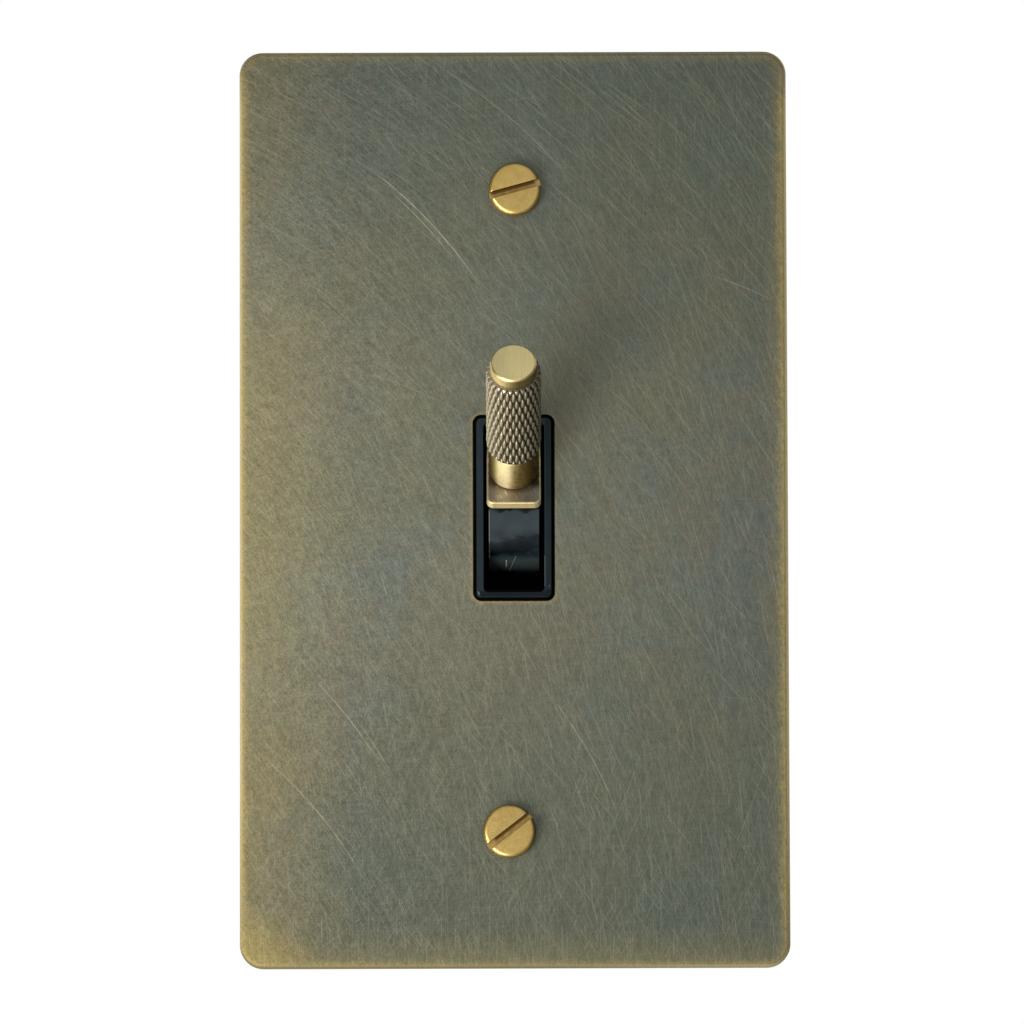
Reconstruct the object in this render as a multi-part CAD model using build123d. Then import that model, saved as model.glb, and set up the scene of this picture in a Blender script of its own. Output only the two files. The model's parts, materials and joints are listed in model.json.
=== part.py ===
from build123d import *
import os
from math import cos, radians, sin, tan

# Toggle wall switch with a flat metal face plate, one gang, single pole.
#
# Millimetres. +X is right, +Y goes into the wall, +Z is up, and the front faces -Y.
# The origin is the centre of the plate's back face, on the surface of the wall.
# The lever is drawn pointing straight out of the wall and then tilted up, to ON.

# ---- driving dimensions -------------------------------------------------------------
PLATE_W, PLATE_H, PLATE_T = 71.0, 119.0, 3.0
PLATE_CORNER_R = 3.0
PLATE_EDGE_R = 0.6
RELIEF_W, RELIEF_H, RELIEF_DEPTH = 31.0, 100.0, 0.3

SCREW_SPACING = 83.3          # the standard spacing of the two screws of a wall box
SCREW_MID_Z = -0.3            # the middle of the pair, a little below the plate's middle
SCREW_X = (0.25, -0.70)       # upper and lower screw: the play that the plate's holes leave
SCREW_TURN = (15.3, 37.7)     # how far each slot is turned from level, in degrees
SCREW_R, SCREW_NECK_R, SCREW_LENGTH = 1.75, 1.4, 25.4
SCREW_HEAD_R, SCREW_HEAD_T = 3.4, 2.0
SCREW_HOLE_R = 2.6

STRAP_FRONT, STRAP_T = 0.9, 1.5
STRAP_W, STRAP_BODY_H = 26.0, 71.0
STRAP_END_W, STRAP_H = 18.0, 94.0
STUD_SPACING, STUD_R = 60.3, 1.5

COLLAR_W, COLLAR_H, COLLAR_R, COLLAR_PROUD = 10.4, 24.0, 1.0, 0.4
CHANNEL_W, CHANNEL_H, CHANNEL_R = 7.7, 21.3, 0.5
SHUTTER_Y, SHUTTER_Z = 5.5, 8.0   # ledges behind the channel's ends that hide the mechanism
COLLAR_GAP = 0.1              # between the collar and the plate's slot, all round

HOUSING_W, HOUSING_H = 33.0, 52.0
SHELL_T = 2.0
PARTING_Y, HOUSING_BACK = 9.0, 26.0
RIVET_X, RIVET_Z, RIVET_R = 10.2, 22.8, 1.5

PIVOT_Y = 3.5                 # depth of the lever's pivot behind the wall's surface
LEVER_ANGLE = 31.0            # lever above level when ON, and below level when OFF
PIN_R, PIN_HALF = 1.2, 5.0
BARREL_R, BARREL_HALF = 8.1, 3.25

# stations along the lever, as distances from the pivot
SADDLE_R0, SADDLE_R1 = 8.1, 9.2
GRIP_R0, GRIP_R1 = 14.7, 30.7
CAP_R1 = 32.5
SADDLE_W, SADDLE_L, SADDLE_CORNER_R = 7.0, 10.5, 0.9
NECK_R, GRIP_R, CAP_R, CORE_R = 3.2, 3.55, 3.0, 2.2

# the rear of the barrel: two detent flats on the left, a rising cam on the right
FLAT_DISTANCE = 6.0
CAM_LOW, CAM_HIGH = 6.0, 7.5
CAM_MEAN = (CAM_LOW + CAM_HIGH) / 2
CAM_SLOPE = (CAM_HIGH - CAM_LOW) / (2 * LEVER_ANGLE)

# the moving contact arm, hinged above the pivot and pushed back by the cam
ARM_HINGE_Y, ARM_HINGE_Z = 11.8, 16.5
ARM_X = (0.3, 3.2)
ARM_MID = (ARM_X[0] + ARM_X[1]) / 2
ARM_FRONT, ARM_T = 11.3, 0.8
NOSE_R, NOSE_GAP = 0.8, 0.1
CONTACT_Z = -12.0
HINGE_PIN_R = 0.8

# terminals: brass strips that lie behind the parting plane and come out on the right
LEG_Y = (9.05, 10.05)
PAD_X = (12.5, 13.5)
TERMINAL_Z, TERMINAL_SCREW_Y = 14.0, 15.6
RECESS_Z, RECESS_BACK = (9.0, 19.0), 21.0
RECESS_WALL = (10.5, 12.5)
TERMINAL_SCREW_R, TERMINAL_HEAD_R, TERMINAL_HEAD_T = 2.08, 3.75, 2.2

SPRING_Z, SPRING_SEAT_Y = -6.0, 20.1
LEAF_X, LEAF_T = (-3.1, -0.2), 0.4
LEAF_CROWN, LEAF_FOOT = 9.62, 14.0
EASE = 0.02                   # clearance between pieces that are fixed to each other

UP, DOWN = 1, -1
LEFT, RIGHT = -1, 1


# ---- helpers ------------------------------------------------------------------------
def slab(x, y, z):
    """A box between two limits along each axis."""
    size = [high - low for low, high in (x, y, z)]
    centre = [(high + low) / 2 for low, high in (x, y, z)]
    return Pos(*centre) * Box(*size)


def rod_x(radius, x, y, z):
    """A cylinder along X, from x[0] to x[1]."""
    return Pos((x[0] + x[1]) / 2, y, z) * Rot(0, 90, 0) * Cylinder(radius, x[1] - x[0])


def rod_y(radius, y, x=0.0, z=0.0):
    """A cylinder along Y, from y[0] to y[1]."""
    return Pos(x, (y[0] + y[1]) / 2, z) * Rot(90, 0, 0) * Cylinder(radius, y[1] - y[0])


def panel(sketch, y):
    """A sketch drawn as seen from the front, made solid from y[0] back to y[1]."""
    front = Plane(origin=(0, y[0], 0), x_dir=(1, 0, 0), z_dir=(0, -1, 0))
    return extrude(front * sketch, amount=-(y[1] - y[0]))


def profile(sketch, x):
    """A sketch drawn in Y and Z, made solid from x[0] to x[1]."""
    return extrude(Plane.YZ.offset(x[0]) * sketch, amount=x[1] - x[0])


def turned(points, x=0.0, z=0.0):
    """A solid of revolution about a line along Y: points are (radius, y), and close on the line."""
    outline = Polyline(*[(radius, y) for radius, y in points], close=True)
    return Pos(x, 0, z) * revolve(make_face(outline), Axis.Y)


def mirrored(low, high, side):
    """The interval low..high, or its mirror image when side is -1."""
    return (low, high) if side > 0 else (-high, -low)


def screw_z(side):
    """The height of the upper or the lower plate screw."""
    return SCREW_MID_Z + side * SCREW_SPACING / 2


def along_lever(near, far):
    """The Y interval of a stretch of the lever, before it is tilted."""
    return (PIVOT_Y - far, PIVOT_Y - near)


def tilt(shape):
    """Turn a lever piece about the pivot from straight out to its ON position."""
    return shape.rotate(Axis((0, PIVOT_Y, 0), (1, 0, 0)), -LEVER_ANGLE)


def from_pivot(radius, angle):
    """A point at this radius and angle, in degrees, up from straight back behind the pivot."""
    return (PIVOT_Y + radius * cos(radians(angle)), radius * sin(radians(angle)))


def edges_at_y(shape, y):
    """The edges of a solid that lie in one plane across Y."""
    return shape.edges().filter_by_position(Axis.Y, y - 1e-4, y + 1e-4)


# ---- face plate and what fastens it -----------------------------------------------------
def make_face_plate():
    plate = panel(RectangleRounded(PLATE_W, PLATE_H, PLATE_CORNER_R), (-PLATE_T, 0))
    plate = fillet(edges_at_y(plate, -PLATE_T), PLATE_EDGE_R)
    plate -= panel(RectangleRounded(RELIEF_W, RELIEF_H, 3), (-RELIEF_DEPTH, 1))
    slot_w, slot_h = COLLAR_W + 2 * COLLAR_GAP, COLLAR_H + 2 * COLLAR_GAP
    plate -= panel(RectangleRounded(slot_w, slot_h, COLLAR_R + COLLAR_GAP), (-4, 1))
    for side in (UP, DOWN):
        plate -= rod_y(SCREW_HOLE_R, (-4, 1), z=screw_z(side))
    return plate


def make_plate_screw(side):
    """Slotted screw: a flat-topped round head, a thinner neck, then the thread's outside diameter."""
    x = SCREW_X[0] if side == UP else SCREW_X[1]
    z = screw_z(side)
    turn = SCREW_TURN[0] if side == UP else SCREW_TURN[1]
    seat = -PLATE_T
    top = seat - SCREW_HEAD_T
    head = fillet(edges_at_y(rod_y(SCREW_HEAD_R, (top, seat)), top), 0.4)
    slot = Pos(0, top, 0) * Rot(0, -turn, 0) * Box(4 * SCREW_HEAD_R, 2.2, 0.9)
    neck_end = STRAP_FRONT + STRAP_T + 0.4
    tip = seat + SCREW_LENGTH
    shank = turned([
        (0, seat),
        (SCREW_NECK_R, seat),
        (SCREW_NECK_R, neck_end - 0.1),
        (SCREW_R, neck_end),
        (SCREW_R, tip - 0.6),
        (SCREW_R - 0.6, tip),
        (0, tip),
    ])
    return Pos(x, 0, z) * (head - slot + shank)


def make_screw_retainers():
    """Fibre washers that keep the two screws in the plate before it is fitted."""
    washers = []
    for x, side in zip(SCREW_X, (UP, DOWN)):
        z = screw_z(side)
        span = (-RELIEF_DEPTH + 0.1, STRAP_FRONT - 0.1)
        washer = rod_y(4.0, span, x, z) - rod_y(SCREW_NECK_R + EASE, (-2, 3), x, z)
        washers.append(washer)
    return Compound(children=washers)


def make_plate_studs():
    """Threaded studs welded to the back of the plate, each with a flange that spaces the strap."""
    studs = []
    for side in (UP, DOWN):
        studs.append(turned([
            (0, -RELIEF_DEPTH),
            (2.5, -RELIEF_DEPTH),
            (2.5, STRAP_FRONT),
            (STUD_R, STRAP_FRONT),
            (STUD_R, 6.9),
            (STUD_R - 0.4, 7.3),
            (0, 7.3),
        ], z=side * STUD_SPACING / 2))
    return Compound(children=studs)


def make_stud_lock_washers():
    """Split spring washers."""
    back = STRAP_FRONT + STRAP_T
    washers = []
    for side in (UP, DOWN):
        z = side * STUD_SPACING / 2
        washer = rod_y(2.7, (back, back + 0.8), z=z) - rod_y(1.6, (0, 9), z=z)
        split = Pos(2.2, back + 0.4, z) * Rot(0, 0, 35) * Box(0.35, 3, 1.0)
        washers.append(washer - split)
    return Compound(children=washers)


def make_stud_nuts():
    front = STRAP_FRONT + STRAP_T + 0.8
    across_corners = 5.5 / cos(radians(30))
    nuts = []
    for side in (UP, DOWN):
        z = side * STUD_SPACING / 2
        hexagon = Pos(0, z) * RegularPolygon(across_corners / 2, 6)
        blank = panel(hexagon, (front, front + 2.4))
        disc = rod_y(across_corners / 2, (front, front + 2.4), z=z)
        bevelled = chamfer(edges_at_y(disc, front + 2.4), 0.35)
        nuts.append((blank & bevelled) - rod_y(STUD_R + EASE, (0, 9), z=z))
    return Compound(children=nuts)


# ---- mounting strap -------------------------------------------------------------------------
TAB_X = (-STRAP_W / 2, -STRAP_W / 2 + STRAP_T)
TAB_Z = (-35.3, -26.8)
TAB_BACK = 11.5
GROUND_Y, GROUND_Z = 7.0, (TAB_Z[0] + TAB_Z[1]) / 2


def make_mounting_strap():
    """Steel strap with slots for the box screws and a grounding tab that is bent to the rear."""
    span = (STRAP_FRONT, STRAP_FRONT + STRAP_T)
    outline = RectangleRounded(STRAP_W, STRAP_BODY_H, 2) + RectangleRounded(STRAP_END_W, STRAP_H, 4)
    outline -= RectangleRounded(COLLAR_W + 0.5, COLLAR_H + 0.5, COLLAR_R + 0.2)
    for side in (UP, DOWN):
        outline -= Pos(0, screw_z(side)) * SlotOverall(7.4, 4.2)
        outline -= Pos(0, side * STUD_SPACING / 2) * Circle(1.7)
        for x in (-RIVET_X, RIVET_X):
            outline -= Pos(x, side * RIVET_Z) * Circle(RIVET_R + EASE)
    strap = panel(outline, span)
    strap += slab(TAB_X, (STRAP_FRONT, TAB_BACK), TAB_Z)
    bend = strap.edges().filter_by(Axis.Z).filter_by_position(Axis.X, TAB_X[1] - 0.01, TAB_X[1] + 0.01)
    strap = fillet(bend.filter_by_position(Axis.Y, span[1] - 0.01, span[1] + 0.01), 1.0)
    strap -= rod_x(TERMINAL_SCREW_R + EASE, (TAB_X[0] - 1, TAB_X[1] + 1), GROUND_Y, GROUND_Z)
    return strap


def make_ground_screw():
    """Hexagonal washer-head screw with a slot, its head on the outside of the tab."""
    seat = TAB_X[0] - EASE
    head_top = seat - 3.0
    hexagon = Pos(GROUND_Y, GROUND_Z) * RegularPolygon(6.35 / 2 / cos(radians(30)), 6)
    head = profile(hexagon, (head_top, seat - 0.8))
    head += rod_x(3.8, (seat - 0.8, seat), GROUND_Y, GROUND_Z)
    head -= Pos(head_top, GROUND_Y, GROUND_Z) * Rot(20, 0, 0) * Box(2.0, 9, 1.0)
    tip = seat + 8.0
    shank = rod_x(TERMINAL_SCREW_R, (seat, tip), GROUND_Y, GROUND_Z)
    return head + chamfer(shank.edges().filter_by_position(Axis.X, tip - 0.01, tip + 0.01), 0.5)


# ---- housing --------------------------------------------------------------------------------
def corners():
    """The four rivet places, as (x, z)."""
    return [(x, z) for x in (-RIVET_X, RIVET_X) for z in (-RIVET_Z, RIVET_Z)]


def inner_size():
    return HOUSING_W - 2 * SHELL_T, HOUSING_H - 2 * SHELL_T


def make_housing_cover():
    """Moulded front half: a tray whose collar comes forward through strap and plate."""
    front = STRAP_FRONT + STRAP_T
    cavity_front = front + SHELL_T
    cavity_w, cavity_h = inner_size()
    cover = panel(RectangleRounded(HOUSING_W, HOUSING_H, 2), (front, PARTING_Y))
    cover -= panel(RectangleRounded(cavity_w, cavity_h, 1), (cavity_front, PARTING_Y + 1))

    collar_front, collar_back = -PLATE_T - COLLAR_PROUD, PARTING_Y - 1.5
    collar = panel(RectangleRounded(COLLAR_W, COLLAR_H, COLLAR_R), (collar_front, collar_back))
    cover += fillet(edges_at_y(collar, collar_front), 0.55)
    for side in (LEFT, RIGHT):
        cover += slab(mirrored(3.0, 6.85, side), (front, collar_back), (-3.5, 3.5))
    for x, z in corners():
        cover += rod_y(3.2, (front, PARTING_Y), x, z)
    for side in (UP, DOWN):
        cover += slab((RECESS_WALL[0], 15.0), (front, PARTING_Y), mirrored(7, 21, side))

    channel = RectangleRounded(CHANNEL_W, CHANNEL_H, CHANNEL_R)
    cover -= panel(channel, (collar_front - 1, collar_back + 1))
    for side in (UP, DOWN):
        ledge_z = mirrored(SHUTTER_Z, CHANNEL_H / 2 + 0.3, side)
        cover += slab((-CHANNEL_W / 2 - 0.3, CHANNEL_W / 2 + 0.3), (SHUTTER_Y, collar_back), ledge_z)
    for side in (LEFT, RIGHT):
        pocket = mirrored(CHANNEL_W / 2 - 0.5, PIN_HALF + 0.05, side)
        cover -= rod_x(PIN_R + EASE, pocket, PIVOT_Y, 0)
        cover -= slab(pocket, (PIVOT_Y, collar_back + 1), (-PIN_R - EASE, PIN_R + EASE))
        keeper_slot = mirrored(CHANNEL_W / 2 - 0.5, 7.5, side)
        cover -= slab(keeper_slot, (PIVOT_Y + PIN_R, collar_back + 1), (-PIN_R - EASE, PIN_R + EASE))
    for x, z in corners():
        cover -= rod_y(RIVET_R + EASE, (front - 1, PARTING_Y + 1), x, z)
    return cover


def make_housing_base():
    """Moulded rear half: a deep tray with terminal recesses, keeper posts and spring seats."""
    floor = HOUSING_BACK - SHELL_T
    cavity_w, cavity_h = inner_size()
    base = panel(RectangleRounded(HOUSING_W, HOUSING_H, 2), (PARTING_Y, HOUSING_BACK))
    base = fillet(edges_at_y(base, HOUSING_BACK), 1.0)
    base -= panel(RectangleRounded(cavity_w, cavity_h, 1), (PARTING_Y - 1, floor))
    for x, z in corners():
        base += rod_y(3.2, (PARTING_Y, floor), x, z)

    for side in (UP, DOWN):
        base += slab((RECESS_WALL[0], 15.0), (PARTING_Y, floor), mirrored(7, 21, side))
        recess = (RECESS_WALL[1], HOUSING_W / 2 + 1)
        base -= slab(recess, (PARTING_Y - 1, RECESS_BACK), mirrored(*RECESS_Z, side))
        leg = leg_z(side)
        notch = (leg[0] - 0.1, leg[1] + 0.1)
        base -= slab((RECESS_WALL[0] - 1, RECESS_WALL[1] + 1), (PARTING_Y - 1, LEG_Y[1] + 0.05), notch)
        screw_end = (RECESS_WALL[0] - 1, RECESS_WALL[1] + 1)
        base -= rod_x(TERMINAL_SCREW_R + 0.25, screw_end, TERMINAL_SCREW_Y, side * TERMINAL_Z)

    for side in (LEFT, RIGHT):
        post_x = mirrored(4.2, 6.5, side)
        base += slab(post_x, (PARTING_Y - 1.2, floor), (-2.5, 2.5))
        base += slab(post_x, (PIVOT_Y + PIN_R + 0.05, PARTING_Y), (-1.1, 1.1))

    for side in (UP, DOWN):
        ledge_x = (LEAF_X[0] - 0.4, LEAF_X[1] + 0.1)
        base += slab(ledge_x, (LEAF_FOOT + LEAF_T + EASE, floor), mirrored(9.4, 13.0, side))
        base += slab(ledge_x, (LEAF_FOOT - 1.5, floor), mirrored(11.8, 13.0, side))

    base += rod_y(2.2, (SPRING_SEAT_Y, floor), ARM_MID, SPRING_Z)
    base += rod_y(0.8, (SPRING_SEAT_Y - 2.0, SPRING_SEAT_Y), ARM_MID, SPRING_Z)
    for x, z in corners():
        base -= rod_y(RIVET_R + EASE, (PARTING_Y - 1, HOUSING_BACK + 1), x, z)
    return base


def make_housing_rivets():
    """Four rivets that clamp the strap, the cover and the base together."""
    rivets = []
    for x, z in corners():
        rivets.append(turned([
            (0, STRAP_FRONT - 0.7),
            (2.0, STRAP_FRONT - 0.7),
            (2.5, STRAP_FRONT - 0.3),
            (2.5, STRAP_FRONT),
            (RIVET_R, STRAP_FRONT),
            (RIVET_R, HOUSING_BACK),
            (2.5, HOUSING_BACK),
            (2.5, HOUSING_BACK + 0.4),
            (2.0, HOUSING_BACK + 0.8),
            (0, HOUSING_BACK + 0.8),
        ], x, z))
    return Compound(children=rivets)


# ---- toggle ---------------------------------------------------------------------------------
def make_pivot_pin():
    pin = rod_x(PIN_R, (-PIN_HALF, PIN_HALF), PIVOT_Y, 0)
    return chamfer(pin.edges().filter_by(GeomType.CIRCLE), 0.2)


def cam_radius(angle):
    """The spiral that pushes the contact arm back: its radius falls evenly with the angle."""
    return CAM_MEAN - CAM_SLOPE * angle


def make_toggle_barrel():
    """Barrel that closes the channel in front and works the detent and the contact behind."""
    disc = Pos(PIVOT_Y, 0) * Circle(BARREL_R)
    left = disc
    for side in (UP, DOWN):
        beyond_flat = Pos(FLAT_DISTANCE + BARREL_R, 0) * Rectangle(2 * BARREL_R, 4 * BARREL_R)
        left -= Pos(PIVOT_Y, 0) * Rot(0, 0, side * LEVER_ANGLE) * beyond_flat

    first = (CAM_MEAN - BARREL_R) / CAM_SLOPE       # where the spiral leaves the round of the barrel
    last = 2 * 36.5
    steps = 12
    angles = [first + (last - first) * i / steps for i in range(steps + 1)]
    spiral = Spline(*[from_pivot(cam_radius(angle), angle) for angle in angles])
    step = Line(from_pivot(cam_radius(last), last), from_pivot(BARREL_R, last))
    opposite = (first + last) / 2 + 180
    rest = ThreePointArc(
        from_pivot(BARREL_R, last), from_pivot(BARREL_R, opposite), from_pivot(BARREL_R, first)
    )
    right = make_face([spiral, step, rest])

    barrel = profile(left, (-BARREL_HALF, 0)) + profile(right, (0, BARREL_HALF))
    barrel += slab((-3.15, 3.15), along_lever(4, SADDLE_R0), (-4.3, 4.3))
    barrel += rod_x(2.6, (-BARREL_HALF - 0.5, BARREL_HALF + 0.5), PIVOT_Y, 0)
    barrel -= rod_x(PIN_R + 0.04, (-9, 9), PIVOT_Y, 0)
    barrel -= rod_y(STUD_R + EASE, along_lever(3.3, SADDLE_R0 + 1))
    return tilt(barrel)


def make_saddle_plate():
    span = along_lever(SADDLE_R0, SADDLE_R1)
    saddle = panel(RectangleRounded(SADDLE_W, SADDLE_L, SADDLE_CORNER_R), span)
    saddle = fillet(edges_at_y(saddle, span[0]), 0.15)
    saddle -= rod_y(STUD_R + EASE, (span[0] - 1, span[1] + 1))
    return tilt(saddle)


def make_knob_core():
    """Plain neck with a thinner spigot that carries the knurled sleeve."""
    core = turned([
        (0, PIVOT_Y - GRIP_R1),
        (CORE_R, PIVOT_Y - GRIP_R1),
        (CORE_R, PIVOT_Y - GRIP_R0),
        (NECK_R, PIVOT_Y - GRIP_R0),
        (NECK_R, PIVOT_Y - SADDLE_R1 - 0.2),
        (NECK_R - 0.2, PIVOT_Y - SADDLE_R1),
        (0, PIVOT_Y - SADDLE_R1),
    ])
    core -= rod_y(STUD_R + EASE, along_lever(SADDLE_R1 - 1, 13.1))
    core -= rod_y(STUD_R + EASE, along_lever(GRIP_R1 - 3.1, GRIP_R1 + 1))
    return tilt(core)


def make_knurled_grip():
    """Sleeve at the diameter of its knurl's crests."""
    span = along_lever(GRIP_R0, GRIP_R1)
    grip = chamfer(rod_y(GRIP_R, span).edges().filter_by(GeomType.CIRCLE), 0.3)
    grip -= rod_y(CORE_R + EASE, (span[0] - 1, span[1] + 1))
    return tilt(grip)


def make_knob_cap():
    """Turned end cap with a spigot that is pressed into the core."""
    top = PIVOT_Y - CAP_R1
    cap = turned([
        (0, top),
        (CAP_R - 0.25, top),
        (CAP_R, top + 0.25),
        (CAP_R, PIVOT_Y - GRIP_R1),
        (STUD_R, PIVOT_Y - GRIP_R1),
        (STUD_R, PIVOT_Y - GRIP_R1 + 3.0),
        (0, PIVOT_Y - GRIP_R1 + 3.0),
    ])
    return tilt(cap)


def make_knob_stud():
    """Threaded rod that clamps the saddle between the knob and the barrel."""
    return tilt(rod_y(STUD_R, along_lever(3.4, 13.0)))


# ---- spring, contacts and terminals ---------------------------------------------------------
def make_detent_spring():
    """Leaf spring: a flat crown against the barrel and two feet that slide on the base."""
    half = [(LEAF_CROWN, 0), (LEAF_CROWN, 2.0), (LEAF_FOOT, 10.0), (LEAF_FOOT, 11.5)]
    front = half[:0:-1] + [(y, -z) for y, z in half[1:]]
    slant = LEAF_T / 2 * tan(radians(14))
    back = [
        (y + LEAF_T, z + (slant if z > 0 else -slant) * (-1 if abs(z) < 9 else 0))
        for y, z in reversed(front)
    ]
    outline = make_face(Polyline(*front, *back, close=True))
    return profile(outline, LEAF_X)


def make_contact_arm():
    """Stamped arm with a rolled eye at its hinge and a rounded nose that rides on the cam."""
    nose_y = PIVOT_Y + CAM_LOW + NOSE_GAP + NOSE_R
    back = ARM_FRONT + ARM_T
    arm = slab(ARM_X, (ARM_FRONT, back), (CONTACT_Z - 2.0, ARM_HINGE_Z))
    arm += rod_x(1.5, ARM_X, ARM_HINGE_Y, ARM_HINGE_Z)
    arm += rod_x(NOSE_R, ARM_X, nose_y, 0)
    arm += slab(ARM_X, (nose_y, ARM_FRONT), (-NOSE_R, NOSE_R))
    arm += rod_y(0.75, (back, back + 0.6), ARM_MID, SPRING_Z)
    arm -= rod_x(HINGE_PIN_R + 0.05, (ARM_X[0] - 1, ARM_X[1] + 1), ARM_HINGE_Y, ARM_HINGE_Z)
    arm -= rod_y(0.6 + EASE, (ARM_FRONT - 1, back + 1), ARM_MID, CONTACT_Z)
    return arm


def make_moving_contact():
    """Silver rivet: its face is at the front of the arm."""
    back = ARM_FRONT + ARM_T
    return turned([
        (0, ARM_FRONT - 0.6),
        (1.1, ARM_FRONT - 0.6),
        (1.3, ARM_FRONT - 0.4),
        (1.3, ARM_FRONT),
        (0.6, ARM_FRONT),
        (0.6, back),
        (1.0, back),
        (0.8, back + 0.3),
        (0, back + 0.3),
    ], ARM_MID, CONTACT_Z)


def make_fixed_contact():
    """Silver rivet in the load terminal, facing the rear."""
    front, back = LEG_Y
    return turned([
        (0, front - 0.3),
        (0.8, front - 0.3),
        (1.0, front),
        (0.6, front),
        (0.6, back),
        (1.3, back),
        (1.3, back + 0.4),
        (1.1, back + 0.6),
        (0, back + 0.6),
    ], ARM_MID, CONTACT_Z)


def make_contact_spring():
    """Compression coil between the base's seat and the arm."""
    wire_r, coil_r, turns = 0.18, 1.25, 6.5
    front = ARM_FRONT + ARM_T + wire_r + 0.02
    back = SPRING_SEAT_Y - wire_r - 0.02
    length = back - front
    axis_start = Vector(ARM_MID, front, SPRING_Z)
    path = Helix(pitch=length / turns, height=length, radius=coil_r, center=axis_start, direction=(0, 1, 0))
    wire = Plane(origin=path @ 0, z_dir=path % 0) * Circle(wire_r)
    return sweep(wire, path=path, is_frenet=True)


def make_contact_hinge_pin():
    return rod_x(HINGE_PIN_R, (-1.3, 4.8), ARM_HINGE_Y, ARM_HINGE_Z)


def leg_z(side):
    """The height range of a terminal's leg where it leaves the housing."""
    return (14.7, 18.3) if side == UP else (-14.2, -9.8)


def make_terminal(side, inner_x):
    """Brass angle: a leg behind the parting plane and a pad under the terminal screw."""
    leg = leg_z(side)
    pad_z = mirrored(RECESS_Z[0] + 0.2, RECESS_Z[1] - 0.2, side)
    pad = slab(PAD_X, (LEG_Y[0], RECESS_BACK - 0.3), pad_z)
    terminal = pad + slab((inner_x, PAD_X[1]), LEG_Y, leg)
    span = (PAD_X[0] - 1, PAD_X[1] + 1)
    return terminal - rod_x(TERMINAL_SCREW_R + EASE, span, TERMINAL_SCREW_Y, side * TERMINAL_Z)


def make_terminal_line():
    """Line terminal: its leg ends in a clevis for the contact arm's hinge."""
    terminal = make_terminal(UP, -1.1)
    for ear_x in ((-1.1, -0.1), (3.6, 4.6)):
        ear = slab(ear_x, (LEG_Y[1], ARM_HINGE_Y), (ARM_HINGE_Z - 1.6, ARM_HINGE_Z + 1.6))
        terminal += ear + rod_x(1.6, ear_x, ARM_HINGE_Y, ARM_HINGE_Z)
    return terminal - rod_x(HINGE_PIN_R, (-3, 6), ARM_HINGE_Y, ARM_HINGE_Z)


def make_terminal_load():
    """Load terminal: its leg carries the fixed contact."""
    terminal = make_terminal(DOWN, -0.4)
    return terminal - rod_y(0.6 + EASE, (LEG_Y[0] - 1, LEG_Y[1] + 1), ARM_MID, CONTACT_Z)


def make_terminal_screws():
    """Slotted binding-head screws for the wires, one on each terminal."""
    screws = []
    for side, turn in ((UP, 70), (DOWN, 25)):
        z = side * TERMINAL_Z
        seat, top = PAD_X[1] + EASE, PAD_X[1] + EASE + TERMINAL_HEAD_T
        head = rod_x(TERMINAL_HEAD_R, (seat, top), TERMINAL_SCREW_Y, z)
        head = fillet(head.edges().filter_by_position(Axis.X, top - 0.01, top + 0.01), 0.6)
        head -= Pos(top, TERMINAL_SCREW_Y, z) * Rot(turn, 0, 0) * Box(2.2, 9, 1.1)
        shank = rod_x(TERMINAL_SCREW_R, (RECESS_WALL[0] - 1.5, seat), TERMINAL_SCREW_Y, z)
        tip = shank.edges().filter_by_position(Axis.X, RECESS_WALL[0] - 1.51, RECESS_WALL[0] - 1.49)
        screws.append(head + chamfer(tip, 0.5))
    return Compound(children=screws)


NODES = {
    "face_plate": make_face_plate(),
    "plate_screw_upper": make_plate_screw(UP),
    "plate_screw_lower": make_plate_screw(DOWN),
    "screw_retainers": make_screw_retainers(),
    "plate_studs": make_plate_studs(),
    "stud_lock_washers": make_stud_lock_washers(),
    "stud_nuts": make_stud_nuts(),
    "mounting_strap": make_mounting_strap(),
    "ground_screw": make_ground_screw(),
    "housing_cover": make_housing_cover(),
    "housing_base": make_housing_base(),
    "housing_rivets": make_housing_rivets(),
    "pivot_pin": make_pivot_pin(),
    "toggle_barrel": make_toggle_barrel(),
    "saddle_plate": make_saddle_plate(),
    "knob_core": make_knob_core(),
    "knurled_grip": make_knurled_grip(),
    "knob_cap": make_knob_cap(),
    "knob_stud": make_knob_stud(),
    "detent_spring": make_detent_spring(),
    "contact_arm": make_contact_arm(),
    "moving_contact": make_moving_contact(),
    "fixed_contact": make_fixed_contact(),
    "contact_spring": make_contact_spring(),
    "contact_hinge_pin": make_contact_hinge_pin(),
    "terminal_line": make_terminal_line(),
    "terminal_load": make_terminal_load(),
    "terminal_screws": make_terminal_screws(),
}

os.makedirs("parts", exist_ok=True)
for name, shape in NODES.items():
    export_step(shape, f"parts/{name}.step")
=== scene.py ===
"""Looks of the toggle wall switch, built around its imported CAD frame.

Metres, in the CAD's frame: +X right, +Y into the wall, +Z up, and the front faces -Y.
Lengths named with _MM are in millimetres, and so are the profiles of the turned pieces.
"""

import json
import math

import bmesh
import bpy
import numpy as np
from mathutils import Matrix, Vector


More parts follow.
